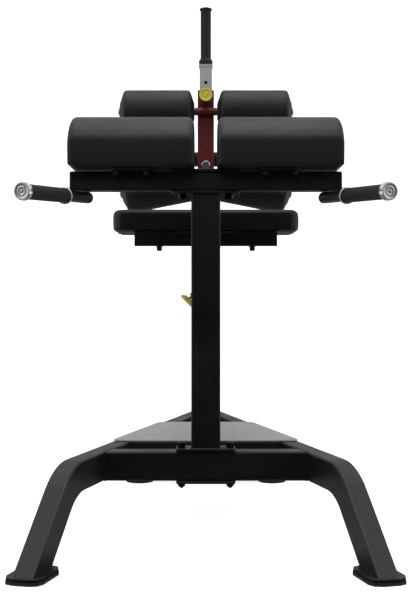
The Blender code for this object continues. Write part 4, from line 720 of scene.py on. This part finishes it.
# Rotary-cut birch under a black stain: dull, with long fibres that took the stain unevenly.
GRAIN_LENGTH = 60 * MILLIMETRE
GRAIN_WIDTH = 2.5 * MILLIMETRE  # growth rings as they show on a rotary-cut face
black_board, tree, shader = surface("black_stained_plywood", {"IOR": 1.5, "Roughness": 0.7})
stretched = texture(
    tree, "ShaderNodeMapping", {"Scale": (1 / GRAIN_LENGTH, 1 / GRAIN_WIDTH, 1 / GRAIN_WIDTH)}
)
fibres = add_node(tree, NOISE, {"Scale": 1.0, "Detail": 4.0}, {"Vector": (stretched, 0)})
finish(tree, shader, (fibres, "0E0D0C", "1E1C1A"), relief=(fibres, 0.4, 0.0003))
dress(black_board, "thigh_pad_board_left", "thigh_pad_board_right", "knee_pad_board")

REMESH_SIZE = 0.005
CLOTH_FRAMES = 16
CLOTH_PRESSURE = 3.0
CLOTH_TENSION = 30
CLOTH_BENDING = 4


def shape_now(made):
    """A copy of an object's mesh with its modifiers applied."""
    return bpy.data.meshes.new_from_object(
        made.evaluated_get(bpy.context.evaluated_depsgraph_get())
    )


def swell(mesh, name, most):
    """The cover drawn over the foam: a cloth under pressure, moved by this much at the most."""
    pad = add_object(name, mesh)
    remesh = pad.modifiers.new("even_faces", "REMESH")
    remesh.mode = "VOXEL"
    remesh.voxel_size = REMESH_SIZE
    bpy.context.view_layer.update()
    shape = shape_now(pad)
    pad.modifiers.clear()
    pad.data = shape
    start = [v.co.copy() for v in shape.vertices]
    cloth = pad.modifiers.new("cover", "CLOTH")
    cloth.settings.use_pressure = True
    cloth.settings.uniform_pressure_force = CLOTH_PRESSURE
    cloth.settings.effector_weights.gravity = 0
    cloth.settings.tension_stiffness = CLOTH_TENSION
    cloth.settings.bending_stiffness = CLOTH_BENDING
    cloth.point_cache.frame_start = 1
    cloth.point_cache.frame_end = CLOTH_FRAMES
    for step in range(1, CLOTH_FRAMES + 1):
        scene.frame_set(step)
    swollen = shape_now(pad)
    for vertex, before in zip(swollen.vertices, start):
        moved = vertex.co - before
        vertex.co = before + moved * min(1, most / max(moved.length, 1e-9))
    pad.modifiers.clear()
    scene.frame_set(1)
    pad.data = swollen
    smoother = pad.modifiers.new("smoother", "SUBSURF")
    smoother.levels = smoother.render_levels = 1
    bpy.context.view_layer.update()
    done = shape_now(pad)
    bpy.data.objects.remove(pad)
    return done


PAD_MOST_SWELL = 0.0008
PAD_CROWN_RADIUS = 0.132
PAD_SHOULDER_RADIUS = 0.013
PAD_END_ROUNDING = 0.014
PAD_END_DROP = 0.024
PAD_END_DRAW_IN = 0.006
PAD_END_RISE = 0.004
PAD_BOTTOM_RADIUS = 0.003
PAD_END_STEPS = 8
PAD_CROWN_STEPS = 24
PAD_SHOULDER_STEPS = 4
PAD_LIFT = 0.0008  # the board stands this far out of the cover below
COVER_FULLNESS = 0.0010  # and the cover this far out of the plain form, at its crest and outer end


def closed_mesh(rings, name):
    """The mesh of a pad's closed form, from its rings."""
    form = bmesh.new()
    skin(form, rings)
    bmesh.ops.remove_doubles(form, verts=form.verts, dist=0.0002)
    return to_mesh(form, name)


def pad_form(low, high):
    """A pad's closed form in its box: upright sides, round shoulders, an arc for a crown."""
    middle_x, middle_y = (low.x + high.x) / 2, (low.y + high.y) / 2
    half_y = (high.y - low.y) / 2
    stations = []
    for i in range(PAD_END_STEPS + 1):
        turn = pi / 2 * i / PAD_END_STEPS
        stations.append((low.x + PAD_END_ROUNDING * (1 - cos(turn)), 1 - sin(turn)))
    stations += [(2 * middle_x - x, share) for x, share in stations[::-1]]
    rings = []
    for x, share in stations:
        half = half_y - PAD_END_DRAW_IN * share
        arc_z = high.z - PAD_END_DROP * share - PAD_CROWN_RADIUS
        reach = half - PAD_SHOULDER_RADIUS
        shoulder_z = arc_z + ((PAD_CROWN_RADIUS - PAD_SHOULDER_RADIUS) ** 2 - reach**2) ** 0.5
        slope = atan2(shoulder_z - arc_z, reach)
        outline = []
        for i in range(4):
            turn = pi / 2 * i / 3
            across, up = PAD_BOTTOM_RADIUS * (1 - sin(turn)), PAD_BOTTOM_RADIUS * (1 - cos(turn))
            outline.append((half - across, low.z + PAD_END_RISE * share + up))
        for i in range(PAD_SHOULDER_STEPS):
            turn = slope * i / PAD_SHOULDER_STEPS
            across, up = PAD_SHOULDER_RADIUS * cos(turn), PAD_SHOULDER_RADIUS * sin(turn)
            outline.append((reach + across, shoulder_z + up))
        for i in range(PAD_CROWN_STEPS // 2):
            turn = slope + (pi / 2 - slope) * i / (PAD_CROWN_STEPS / 2)
            outline.append((PAD_CROWN_RADIUS * cos(turn), arc_z + PAD_CROWN_RADIUS * sin(turn)))
        crest = [(0, arc_z + PAD_CROWN_RADIUS)]
        outline += crest + [(-y, z) for y, z in outline[::-1]]
        rings.append([Vector((x, middle_y + y, z)) for y, z in outline])
    return closed_mesh(rings, "pad_form")


FOLD_PITCH = 0.013
FOLD_DEPTH = 0.0011
FOLD_REACH = 0.055  # how far from a lower corner the folds run out
FOLD_RISE = 0.040


def settle(mesh, low, high, drawn_corner):
    """Draws the pad back to its own box, and folds into its lower corners."""
    corners = [Vector((x, y)) for x in (low.x, high.x) for y in (low.y, high.y)]
    for k in range(3):
        least = min(v.co[k] for v in mesh.vertices)
        most = max(v.co[k] for v in mesh.vertices)
        for vertex in mesh.vertices:
            share = (vertex.co[k] - least) / (most - least)
            vertex.co[k] = low[k] + (high[k] - low[k]) * share
    for vertex in mesh.vertices:
        at = vertex.co
        near = min((Vector((at.x, at.y)) - corner).length for corner in corners)
        share = max(0, 1 - near / FOLD_REACH) * max(0, 1 - (at.z - low.z) / FOLD_RISE)
        if share > 0:
            middle = (low + high) / 2
            bearing = atan2(at.y - middle.y, at.x - middle.x)
            run = bearing * drawn_corner
            at -= vertex.normal * FOLD_DEPTH * share * (0.5 + 0.5 * sin(2 * pi * run / FOLD_PITCH))
        at.x = min(max(at.x, low.x), high.x)
        at.y = min(max(at.y, low.y), high.y)
        at.z = min(max(at.z, low.z), high.z)
    mesh.shade_smooth()
    mesh.update()


for word, side in (("left", -1), ("right", 1)):
    node = f"thigh_pad_{word}"
    low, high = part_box(node)
    inset = Vector((PAD_MOST_SWELL,) * 3)
    low.z += PAD_LIFT
    high.z += COVER_FULLNESS
    (low if side < 0 else high).x += side * COVER_FULLNESS
    mesh = pad_form(low + inset / 4, high - inset / 4)
    mesh = swell(mesh, node, PAD_MOST_SWELL)
    settle(mesh, low, high, drawn_corner=0.2)
    pad = add_piece(f"{node}_cover", mesh, black_vinyl, "frame", "vinyl", node)


# Handles
# Bent 30 mm bars welded under the beam, coated black, each with a fluted rubber grip between a
# chrome-plated collar and a chrome-plated end cap with a turned face.

# Plated over polished steel, a bright mirror with slow unevenness; the turned faces stay satin.
PLATING_CLOUD = 22.22 * MILLIMETRE
TURNING_CLOUD = 16.67 * MILLIMETRE
chrome = mottled(
    "chrome_plate",
    {"Metallic": 1.0},
    {"Scale": 1 / PLATING_CLOUD, "Detail": 5.0},
    "C9CACB",
    "D8D9DA",
    (0.20, 0.32),
)
satin_chrome = mottled(
    "satin_turned_chrome",
    {"Metallic": 1.0},
    {"Scale": 1 / TURNING_CLOUD, "Detail": 4.0},
    "9C9D9E",
    "B2B3B4",
    (0.30, 0.42),
)

HANDLE_RADIUS = 0.015
HANDLE_LENGTH = 0.318
HANDLE_REAR = (0.298, -0.230249)
HANDLE_TURN_OUT = radians(24.2)
HANDLE_FALL = radians(1.75)
GRIP_RADIUS = 0.0185
GRIP_START = 0.138
GRIP_LENGTH = 0.172
GRIP_FLANGE_RADIUS = 0.0191
COLLAR_RADIUS = 0.0222
COLLAR_LENGTH = 0.009
CAP_RADIUS = 0.0222
CAP_LENGTH = 0.016
CAP_FACE_RADIUS = 0.0208
BAR_END_SHORT = 0.0125  # the bar's inner end stops this far from the plain one
SEAM = 0.0003
FLUTES = 22
FLUTE_DEPTH = 0.0003


def fluted(radius, depth=FLUTE_DEPTH, flutes=FLUTES):
    """Radius round a grip moulded with lengthwise flutes."""
    return lambda turn: radius - depth * (0.5 - 0.5 * cos(flutes * turn)) ** 2


for word, side in (("left", -1), ("right", 1)):
    level = cos(HANDLE_FALL)
    axis = Vector(
        (side * sin(HANDLE_TURN_OUT) * level, -cos(HANDLE_TURN_OUT) * level, -sin(HANDLE_FALL))
    )
    start = Vector(
        (side * HANDLE_REAR[0], HANDLE_REAR[1], beam_low.z - SEAM - HANDLE_RADIUS / level)
    )
    bar = bmesh.new()
    turned(
        bar,
        start,
        axis,
        [(BAR_END_SHORT + along, r) for along, r in rounded(HANDLE_RADIUS, 0.02, 0.007, 5)[:6]]
        + [(HANDLE_LENGTH, HANDLE_RADIUS)],
        48,
    )
    node = f"handle_bar_{word}"
    add_piece(f"{node}_tube", bar, black_powder_coat, "frame", "black_coat", node)
    collar = bmesh.new()
    turned(
        collar,
        start + axis * (GRIP_START - SEAM - COLLAR_LENGTH),
        axis,
        rounded(COLLAR_RADIUS, COLLAR_LENGTH, 0.0022, 5),
        64,
    )
    node = f"handle_collar_{word}"
    add_piece(f"{node}_ring", collar, chrome, "frame", "chrome", node)
    grip = bmesh.new()
    rim = 0.006
    turned(
        grip,
        start + axis * GRIP_START,
        axis,
        [(0, GRIP_FLANGE_RADIUS - 0.001), (0.001, GRIP_FLANGE_RADIUS), (0.009, GRIP_FLANGE_RADIUS)]
        + [(0.013, GRIP_FLANGE_RADIUS - 0.0006), (0.024, GRIP_RADIUS)]
        + [(0.028, fluted(GRIP_RADIUS))]
        + [(GRIP_LENGTH - rim - 0.004, fluted(GRIP_RADIUS))]
        + [(GRIP_LENGTH - rim - 0.0015, fluted(GRIP_RADIUS, FLUTE_DEPTH * 0.6))]
        + [(GRIP_LENGTH - rim, GRIP_RADIUS), (GRIP_LENGTH - 0.001, GRIP_RADIUS)]
        + [(GRIP_LENGTH, GRIP_RADIUS - 0.001)],
        FLUTES * 8,
    )
    node = f"handle_grip_{word}"
    add_piece(f"{node}_rubber", grip, black_rubber, "frame", "rubber", node)
    cap = bmesh.new()
    cap_seat = GRIP_START + GRIP_LENGTH + SEAM
    turned(
        cap,
        start + axis * cap_seat,
        axis,
        [(0, CAP_RADIUS - 0.001), (0.001, CAP_RADIUS), (CAP_LENGTH - 0.0060, CAP_RADIUS)]
        + [(CAP_LENGTH - 0.0030, CAP_RADIUS - 0.0006)]
        + [(CAP_LENGTH - 0.0010, CAP_FACE_RADIUS + 0.0006)]
        + [(CAP_LENGTH - 0.0006, CAP_FACE_RADIUS * 0.99)],
        64,
    )
    node = f"handle_end_cap_{word}"
    add_piece(f"{node}_sleeve", cap, chrome, "frame", "chrome", node)
    face = bmesh.new()
    turned(
        face,
        start + axis * (cap_seat + CAP_LENGTH - 0.0006),
        axis,
        [(0, CAP_FACE_RADIUS), (0.0006, CAP_FACE_RADIUS * 0.99)]
        + [(0.0007, CAP_FACE_RADIUS * 0.70), (0.0003, CAP_FACE_RADIUS * 0.66)]
        + [(0.0003, CAP_FACE_RADIUS * 0.60), (0.0007, CAP_FACE_RADIUS * 0.56)]
        + [(0.0007, CAP_FACE_RADIUS * 0.42), (0.0002, CAP_FACE_RADIUS * 0.36)]
        + [(0.0002, CAP_FACE_RADIUS * 0.24), (0.0016, CAP_FACE_RADIUS * 0.20), (0.0020, 0.0004)],
        64,
    )
    add_piece(f"handle_cap_face_{word}", face, satin_chrome, "frame", "chrome")


# Rear upright and knee pad
# The rear upright carries the boom's back end. The knee pad is a flat pad of the same vinyl and
# foam on a board, held by three bolts from below on a bracket that sits astride the boom.

REAR_PLATE_THICKNESS = 0.0077
REAR_PLATE_OVERHANG = 0.015
low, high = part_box("rear_upright")
beads = bmesh.new()
plate_top = low.z + REAR_PLATE_THICKNESS
weld_bead(
    beads, upright_ring("rear_upright", plate_top, UPRIGHT_HALF_WIDTH, REAR_PLATE_OVERHANG)
)
add_piece("rear_weld_bead", beads, black_powder_coat, "frame", "black_coat")

KNEE_BRACKET_HEIGHT = 0.040
KNEE_BOLT_X = 0.129
KNEE_BOLT_Y = -0.047249
KNEE_REAR_BOLT_Y = 0.100751
board_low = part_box("knee_pad_board")[0]
bracket_low = board_low.z - SEAM - KNEE_BRACKET_HEIGHT
bolts = bmesh.new()
for x, y in ((-KNEE_BOLT_X, KNEE_BOLT_Y), (KNEE_BOLT_X, KNEE_BOLT_Y), (0, KNEE_REAR_BOLT_Y)):
    hung_bolt(bolts, Vector((x, y, bracket_low)))
add_piece("knee_bolt_heads", bolts, black_steel, "frame", "black_steel")

KNEE_CORNER = 0.030
KNEE_ROUNDING = 0.016
KNEE_LOWER_ROUNDING = 0.006
KNEE_MOST_SWELL = 0.0007
KNEE_FULLNESS = 0.0018  # the cover at the pad's ends, out of the plain form
KNEE_CORNER_STEPS = 8


def flat_pad_form(low, high):
    """A flat pad's closed form in its box: round corners, rolled edges and a slightly full top."""
    half_x, half_y = (high.x - low.x) / 2, (high.y - low.y) / 2
    middle = Vector(((low.x + high.x) / 2, (low.y + high.y) / 2, 0))
    levels = [
        (low.z + KNEE_LOWER_ROUNDING * (1 - cos(t)), KNEE_LOWER_ROUNDING * (1 - sin(t)))
        for t in [pi / 2 * i / 3 for i in range(4)]
    ]
    crest = high.z - 0.003
    levels += [
        (crest - KNEE_ROUNDING * (1 - sin(t)), KNEE_ROUNDING * (1 - cos(t)))
        for t in [pi / 2 * i / 6 for i in range(7)]
    ]
    levels += [(crest + 0.0020, 0.045), (crest + 0.0030, 0.090)]
    rings = []
    for z, inset in levels:
        corner = max(KNEE_CORNER - inset * 0.6, 0.012)
        ring_middle = Vector((middle.x, middle.y, z))
        rings.append(
            square_ring(ring_middle, half_x - inset, half_y - inset, corner, KNEE_CORNER_STEPS)
        )
    return closed_mesh(rings, "flat_pad_form")


low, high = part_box("knee_pad")
low.z = board_low.z + PAD_LIFT
low.x, high.x, high.z = low.x - KNEE_FULLNESS, high.x + KNEE_FULLNESS, high.z + COVER_FULLNESS
inset = Vector((KNEE_MOST_SWELL,) * 3)
mesh = swell(flat_pad_form(low + inset / 4, high - inset / 4), "knee_pad", KNEE_MOST_SWELL)
settle(mesh, low, high, drawn_corner=0.25)
knee_pad = add_piece("knee_pad_cover", mesh, black_vinyl, "frame", "vinyl", "knee_pad")


# Carriage and mast
# The carriage is a welded box sleeve that slides on the boom on edge. From its socket rises the
# mast, a silver-coated 38 mm tube with pin holes, whose capped top carries a rubber hand grip.

# A silver metallic powder: an even mid grey, satin, with a fine pebble
# whose tops carry a painted highlight.
silver_coat = powder_coat("silver_mast_coat", "989898", "B1B1B0", 0.42, 2.0 * MILLIMETRE, 0.0002)
dress(silver_coat, "mast_post")

CARRIAGE_SOCKET_HALF = 0.025
mast_low, mast_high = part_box("mast_post")
mast_y = (mast_low.y + mast_high.y) / 2
boom_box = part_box("slide_boom")
boom_z = (boom_box[0].z + boom_box[1].z) / 2
CARRIAGE_HALF_DIAGONAL = 0.062 / 2 ** 0.5
beads = bmesh.new()
for a in (-1, 1):
    front, rear = mast_y - CARRIAGE_SOCKET_HALF, mast_y + CARRIAGE_SOCKET_HALF
    x = CARRIAGE_SOCKET_HALF
    ridge = boom_z + CARRIAGE_HALF_DIAGONAL - 0.003
    foot = boom_z + CARRIAGE_HALF_DIAGONAL - CARRIAGE_SOCKET_HALF
    weld_bead(beads, [Vector((a * x, front, foot)), Vector((a * x, rear, foot))], joined=False)
    for y in (front, rear):
        weld_bead(beads, [Vector((a * x, y, foot)), Vector((0, y, ridge))], joined=False)
add_piece("socket_weld_beads", beads, black_powder_coat, "carriage", "black_coat")

grip_low, grip_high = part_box("mast_grip")
MAST_GRIP_RADIUS = 0.0161
MAST_GRIP_FLANGE_RADIUS = 0.0192
MAST_COLLAR_RADIUS = 0.0217
MAST_COLLAR_LENGTH = 0.0066
MAST_COLLAR_TAPER = 0.0090
MAST_FLUTES = 18
grip_length = grip_high.z - grip_low.z - 0.0018
hold = fluted(MAST_GRIP_RADIUS, 0.0003, MAST_FLUTES)
grip = bmesh.new()
turned(
    grip,
    Vector((0, mast_y, grip_low.z)),
    UP,
    [(0, MAST_COLLAR_RADIUS - 0.001), (0.0008, MAST_COLLAR_RADIUS)]
    + [(MAST_COLLAR_LENGTH - 0.001, MAST_COLLAR_RADIUS)]
    + [(MAST_COLLAR_LENGTH, MAST_COLLAR_RADIUS - 0.0006)]
    + [(MAST_COLLAR_LENGTH + MAST_COLLAR_TAPER * 0.7, MAST_GRIP_RADIUS + 0.0012)]
    + [(MAST_COLLAR_LENGTH + MAST_COLLAR_TAPER, MAST_GRIP_RADIUS)]
    + [(MAST_COLLAR_LENGTH + MAST_COLLAR_TAPER + 0.004, hold)]
    + [(grip_length - 0.016, hold), (grip_length - 0.013, MAST_GRIP_RADIUS)]
    + [(grip_length - 0.0115, MAST_GRIP_RADIUS + 0.0008)]
    + [(grip_length - 0.0080, MAST_GRIP_FLANGE_RADIUS)]
    + [(grip_length - 0.0060, MAST_GRIP_FLANGE_RADIUS + 0.0002)]
    + [(grip_length - 0.0042, MAST_GRIP_FLANGE_RADIUS - 0.0006)]
    + [(grip_length - 0.0022, 0.0135), (grip_length - 0.0006, 0.0070), (grip_length, 0.0010)],
    MAST_FLUTES * 8,
)
add_piece("mast_grip_rubber", grip, black_rubber, "carriage", "rubber", "mast_grip")

# A silver square cap flares out round the mast's top, under its black end and the grip's collar.
MAST_CAP_HALF = 0.0216
MAST_CAP_HEIGHT = 0.0105
MAST_HALF = (mast_high.x - mast_low.x) / 2
CAP_CORNER = 0.006
MAST_CAP_CURVE = [
    (MAST_CAP_HEIGHT, MAST_HALF + 0.0002),
    (0.0050, MAST_CAP_HALF - 0.0003),
    (0, MAST_CAP_HALF),
]
mast_cap = bmesh.new()
skin(
    mast_cap,
    [
        square_ring(Vector((0, mast_y, mast_high.z - drop)), half, half, CAP_CORNER, 4)
        for drop, half in MAST_CAP_CURVE
    ],
)
add_piece("mast_flared_cap", mast_cap, silver_coat, "carriage", "silver_coat")


# Pull pins
# A threaded steel body with a hexagon screws into a welded nut, a bright plunger runs in it on a
# spring, and a yellow moulded knob with a finger rim and a dished face is pressed on its end.

# The knob's nylon is dyed through and moulded: a strong yellow with a soft gloss.
NYLON_GRAIN = 1.6 * MILLIMETRE  # real grain about 0.3 mm
moulded = {"Scale": 1 / NYLON_GRAIN, "Detail": 3.0}
yellow_plastic = mottled(
    "yellow_moulded_nylon",
    {"IOR": 1.5},
    moulded,
    "B3A32C",
    "CDBE3F",
    (0.28, 0.42),
    (NOISE, moulded, 0.3, 0.0001),
)
# Steel with a clear passivated zinc: pale, a little blue, with a fine spangle.
SPANGLE = 4.1667 * MILLIMETRE  # real spangle about 1 mm
bright_zinc = mottled(
    "bright_zinc_steel",
    {"Metallic": 1.0},
    {"Scale": 1 / SPANGLE, "Detail": 3.0},
    "A2A4A6",
    "BDBFC1",
    (0.22, 0.4),
)

KNOB_THICKNESS = 0.016
BARREL_RADIUS = 0.0095
BARREL_HEXAGON = 0.022
BARREL_HEXAGON_LENGTH = 0.008
BARREL_PITCH = 0.0018


def pull_pin(word, sleeve, seat, axis, barrel_length, standoff, radius, pin_radius):
    """A pull pin's barrel, from the face of the sleeve that it is screwed in, and its knob."""
    barrel = bmesh.new()
    hexagon_head(barrel, seat, axis, BARREL_HEXAGON_LENGTH, BARREL_HEXAGON)
    stations = [(BARREL_HEXAGON_LENGTH - 0.001, BARREL_RADIUS * 0.9)]
    ridges = int((barrel_length - BARREL_HEXAGON_LENGTH - 0.003) / BARREL_PITCH)
    for i in range(ridges):
        along = BARREL_HEXAGON_LENGTH + (i + 0.5) * BARREL_PITCH
        stations += [(along, BARREL_RADIUS * 0.92), (along + BARREL_PITCH / 2, BARREL_RADIUS)]
    stations.append((barrel_length - 0.002, BARREL_RADIUS * 0.94))
    stations.append((barrel_length, BARREL_RADIUS * 0.82))
    stations.append((barrel_length, pin_radius + 0.0004))
    turned(barrel, seat, axis, stations, 36)
    node = f"{word}_pin_barrel"
    add_piece(f"{node}_thread", barrel, black_steel, sleeve, "black_steel", node)
    knob = bmesh.new()
    rim = KNOB_THICKNESS
    turned(
        knob,
        seat + axis * (barrel_length + standoff),
        axis,
        [(0, radius * 0.56), (0.0008, radius * 0.60), (rim * 0.22, radius * 0.68)]
        + [(rim * 0.36, radius * 0.86), (rim * 0.45, radius * 0.965), (rim * 0.55, radius)]
        + [(rim * 0.80, radius), (rim * 0.92, radius * 0.975), (rim * 0.985, radius * 0.93)]
        + [(rim, radius * 0.88), (rim * 0.985, radius * 0.80), (rim * 0.90, radius * 0.72)]
        + [(rim * 0.82, radius * 0.66), (rim * 0.80, radius * 0.56), (rim * 0.82, radius * 0.34)]
        + [(rim * 0.88, radius * 0.30), (rim * 0.895, radius * 0.24), (rim * 0.90, radius * 0.05)],
        64,
    )
    node = f"{word}_knob"
    add_piece(f"{node}_moulding", knob, yellow_plastic, f"{word}_pin", "yellow_plastic", node)


pin_axis = Vector((-1, 0, -1)).normalized()
CARRIAGE_FACE = 0.0313
carriage_seat = Vector((0, mast_y, boom_z)) + pin_axis * CARRIAGE_FACE
pull_pin(
    "carriage", "carriage", carriage_seat, pin_axis,
    barrel_length=0.030, standoff=0.009, radius=0.025, pin_radius=0.005,
)
barrel_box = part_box("height_pin_barrel")
height_seat = Vector((0, barrel_box[1].y, (barrel_box[0].z + barrel_box[1].z) / 2))
pull_pin(
    "height", "ankle_unit", height_seat, -BACK,
    barrel_length=0.042, standoff=0.010, radius=0.020, pin_radius=0.0045,
)
dress(bright_zinc, "carriage_pin", "height_pin")


# Ankle unit
# A square sleeve, two axle bosses and two brackets, welded and coated dark red. It slides on the
# mast on a nylon liner, with a flanged screw near its foot, and a rubber-covered bar lies behind.

# A smooth polyester powder in dark wine red, with a clean gloss and hardly any pebble.
# Its faint pebble tops carry a painted highlight in a lighter red.
dark_red_coat = powder_coat(
    "dark_red_powder_coat", "5A1618", "752528", 0.4, 2.2 * MILLIMETRE, 0.0002, specular=0.25
)
dress(dark_red_coat, "ankle_sleeve")

SLEEVE_HALF = 0.025
BOSS_RADIUS = 0.012
BOSS_REACH = 0.034
axle_low, axle_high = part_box("upper_axle")
upper_middle = Vector((0, (axle_low.y + axle_high.y) / 2, (axle_low.z + axle_high.z) / 2))
sleeve_front = mast_y - SLEEVE_HALF
beads = bmesh.new()
for side in (-1, 1):
    for z in (upper_middle.z - BOSS_RADIUS * 0.55, upper_middle.z + BOSS_RADIUS * 0.55):
        start = Vector((side * SLEEVE_HALF, sleeve_front - 0.001, z))
        weld_bead(beads, [start, start - Vector((side * SLEEVE_HALF * 1.7, 0, 0))], joined=False)
add_piece("sleeve_weld_beads", beads, dark_red_coat, "ankle_unit", "red_coat")

low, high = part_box("sleeve_screw")
screw = bmesh.new()
middle = Vector((0, sleeve_front, (low.z + high.z) / 2))
flange_radius = (high.z - low.z) / 2
turned(
    screw,
    middle,
    -BACK,
    [(0, flange_radius), (0.0010, flange_radius), (0.0022, flange_radius * 0.93)]
    + [(0.0032, flange_radius * 0.75), (sleeve_front - low.y - 0.0005, flange_radius * 0.62)]
    + [(sleeve_front - low.y, flange_radius * 0.5), (sleeve_front - low.y, flange_radius * 0.34)]
    + [(0.0022, flange_radius * 0.32)],
    40,
)
add_piece("sleeve_screw_head", screw, silver_coat, "ankle_unit", "zinc")
dress(bright_zinc, "sleeve_screw")

low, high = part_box("foot_bar")
FOOT_BAR_FLUTES = 30
bar_radius = (high.z - low.z) / 2
bar_length = high.x - low.x
wrap = fluted(bar_radius, 0.0008, FOOT_BAR_FLUTES)
bar = bmesh.new()
turned(
    bar,
    Vector((low.x, (low.y + high.y) / 2, (low.z + high.z) / 2)),
    RIGHT,
    [(0, bar_radius * 0.62), (0.0006, bar_radius * 0.74), (0.003, bar_radius * 0.92)]
    + [(0.006, bar_radius * 0.985), (0.009, bar_radius), (0.014, bar_radius), (0.018, wrap)]
    + [(bar_length - 0.018, wrap), (bar_length - 0.014, bar_radius)]
    + [(bar_length - 0.009, bar_radius), (bar_length - 0.006, bar_radius * 0.985)]
    + [(bar_length - 0.003, bar_radius * 0.92)]
    + [(bar_length - 0.0006, bar_radius * 0.74), (bar_length, bar_radius * 0.62)],
    FOOT_BAR_FLUTES * 6,
)
add_piece("foot_bar_wrap", bar, black_rubber, "ankle_unit", "rubber", "foot_bar")


# Ankle rollers and axles
# Closed-cell foam under a smooth black skin, with full soft ends. The axles are plated steel bars:
# the upper one is straight, the lower one is bent to fall outwards, and both are capped.

# The skin is matt and soft to the eye, and dents a little where the cells lie under it.
CELL_SIZE = 2.4 * MILLIMETRE  # real cells under the skin are about 1 mm
FOAM_CLOUD = 71.43 * MILLIMETRE
black_foam = mottled(
    "black_skinned_foam",
    {"IOR": 1.5, "Specular IOR Level": 0.3},
    {"Scale": 1 / FOAM_CLOUD, "Detail": 4.0},
    "121212",
    "1F1F1F",
    (0.44, 0.62),
    (VORONOI, {"feature": "SMOOTH_F1", "Scale": 1 / CELL_SIZE}, 0.35, 0.0002),
)

AXLE_RADIUS = 0.0085
ROLLER_RADIUS = 0.0645
ROLLER_LENGTH = 0.2275
ROLLER_START = BOSS_REACH + SEAM
AXLE_CAP_RADIUS = 0.013
AXLE_CAP_LENGTH = 0.005
LOWER_AXLE_FALL = radians(11.2)
LOWER_AXLE_Z = 0.9908
# A roller's end from its hub to its rim: (share of the radius, distance in from the hub's face)
ROLLER_END = [
    (0.24, 0.0010),
    (0.33, 0.0002),
    (0.42, 0.0012),
    (0.54, 0.0040),
    (0.66, 0.0066),
    (0.78, 0.0092),
    (0.87, 0.0112),
    (0.93, 0.0132),
    (0.972, 0.0160),
    (0.993, 0.0195),
    (1.0, 0.0240),
]
FOAM_UNEVEN = 0.0006


def foam_roller(name, middle, axis):
    """A foam roller as a skinned form whose surface is a little uneven."""
    form = bmesh.new()
    ends = [(inset, ROLLER_RADIUS * share) for share, inset in ROLLER_END]
    count = 16
    body_start, body_end = ROLLER_END[-1][1], ROLLER_LENGTH - ROLLER_END[-1][1]
    step = (body_end - body_start) / count
    barrel = [(body_start + step * i, ROLLER_RADIUS) for i in range(1, count)]
    stations = ends + barrel + [(ROLLER_LENGTH - inset, r) for inset, r in ends[::-1]]
    turned(form, middle + axis * ROLLER_START, axis, stations, 96)
    for vertex in form.verts:
        from_axis = vertex.co - middle - axis * (vertex.co - middle).dot(axis)
        if from_axis.length > ROLLER_RADIUS * 0.5:
            sink = FOAM_UNEVEN * (0.5 + 0.5 * noise.noise(vertex.co * 28))
            vertex.co -= from_axis.normalized() * sink
    roller = add_piece(f"{name}_foam", form, black_foam, f"{name}_body", "foam", name)


def axle_end(form, middle, axis):
    """The domed plated cap on the end of an axle."""
    start = middle + axis * (ROLLER_START + ROLLER_LENGTH + SEAM)
    dome = [(0, AXLE_CAP_RADIUS), (0.0022, AXLE_CAP_RADIUS), (0.0036, AXLE_CAP_RADIUS * 0.94)]
    dome += [(0.0045, AXLE_CAP_RADIUS * 0.78), (0.0049, AXLE_CAP_RADIUS * 0.5)]
    turned(form, start, axis, dome + [(AXLE_CAP_LENGTH, AXLE_CAP_RADIUS * 0.1)], 40)


lower_middle = Vector((0, upper_middle.y, LOWER_AXLE_Z))
for level, middle, fall in (("upper", upper_middle, 0), ("lower", lower_middle, LOWER_AXLE_FALL)):
    axle = bmesh.new()
    for word, side in (("left", -1), ("right", 1)):
        axis = Vector((side * cos(fall), 0, -sin(fall)))
        foam_roller(f"roller_{level}_{word}", middle, axis)
        axle_end(axle, middle, axis)
        reach = ROLLER_START + ROLLER_LENGTH + SEAM
        turned(axle, middle, axis, [(0, AXLE_RADIUS), (reach, AXLE_RADIUS)], 32)
    add_piece(f"{level}_axle_bar", axle, bright_zinc, "ankle_unit", "zinc", f"{level}_axle")
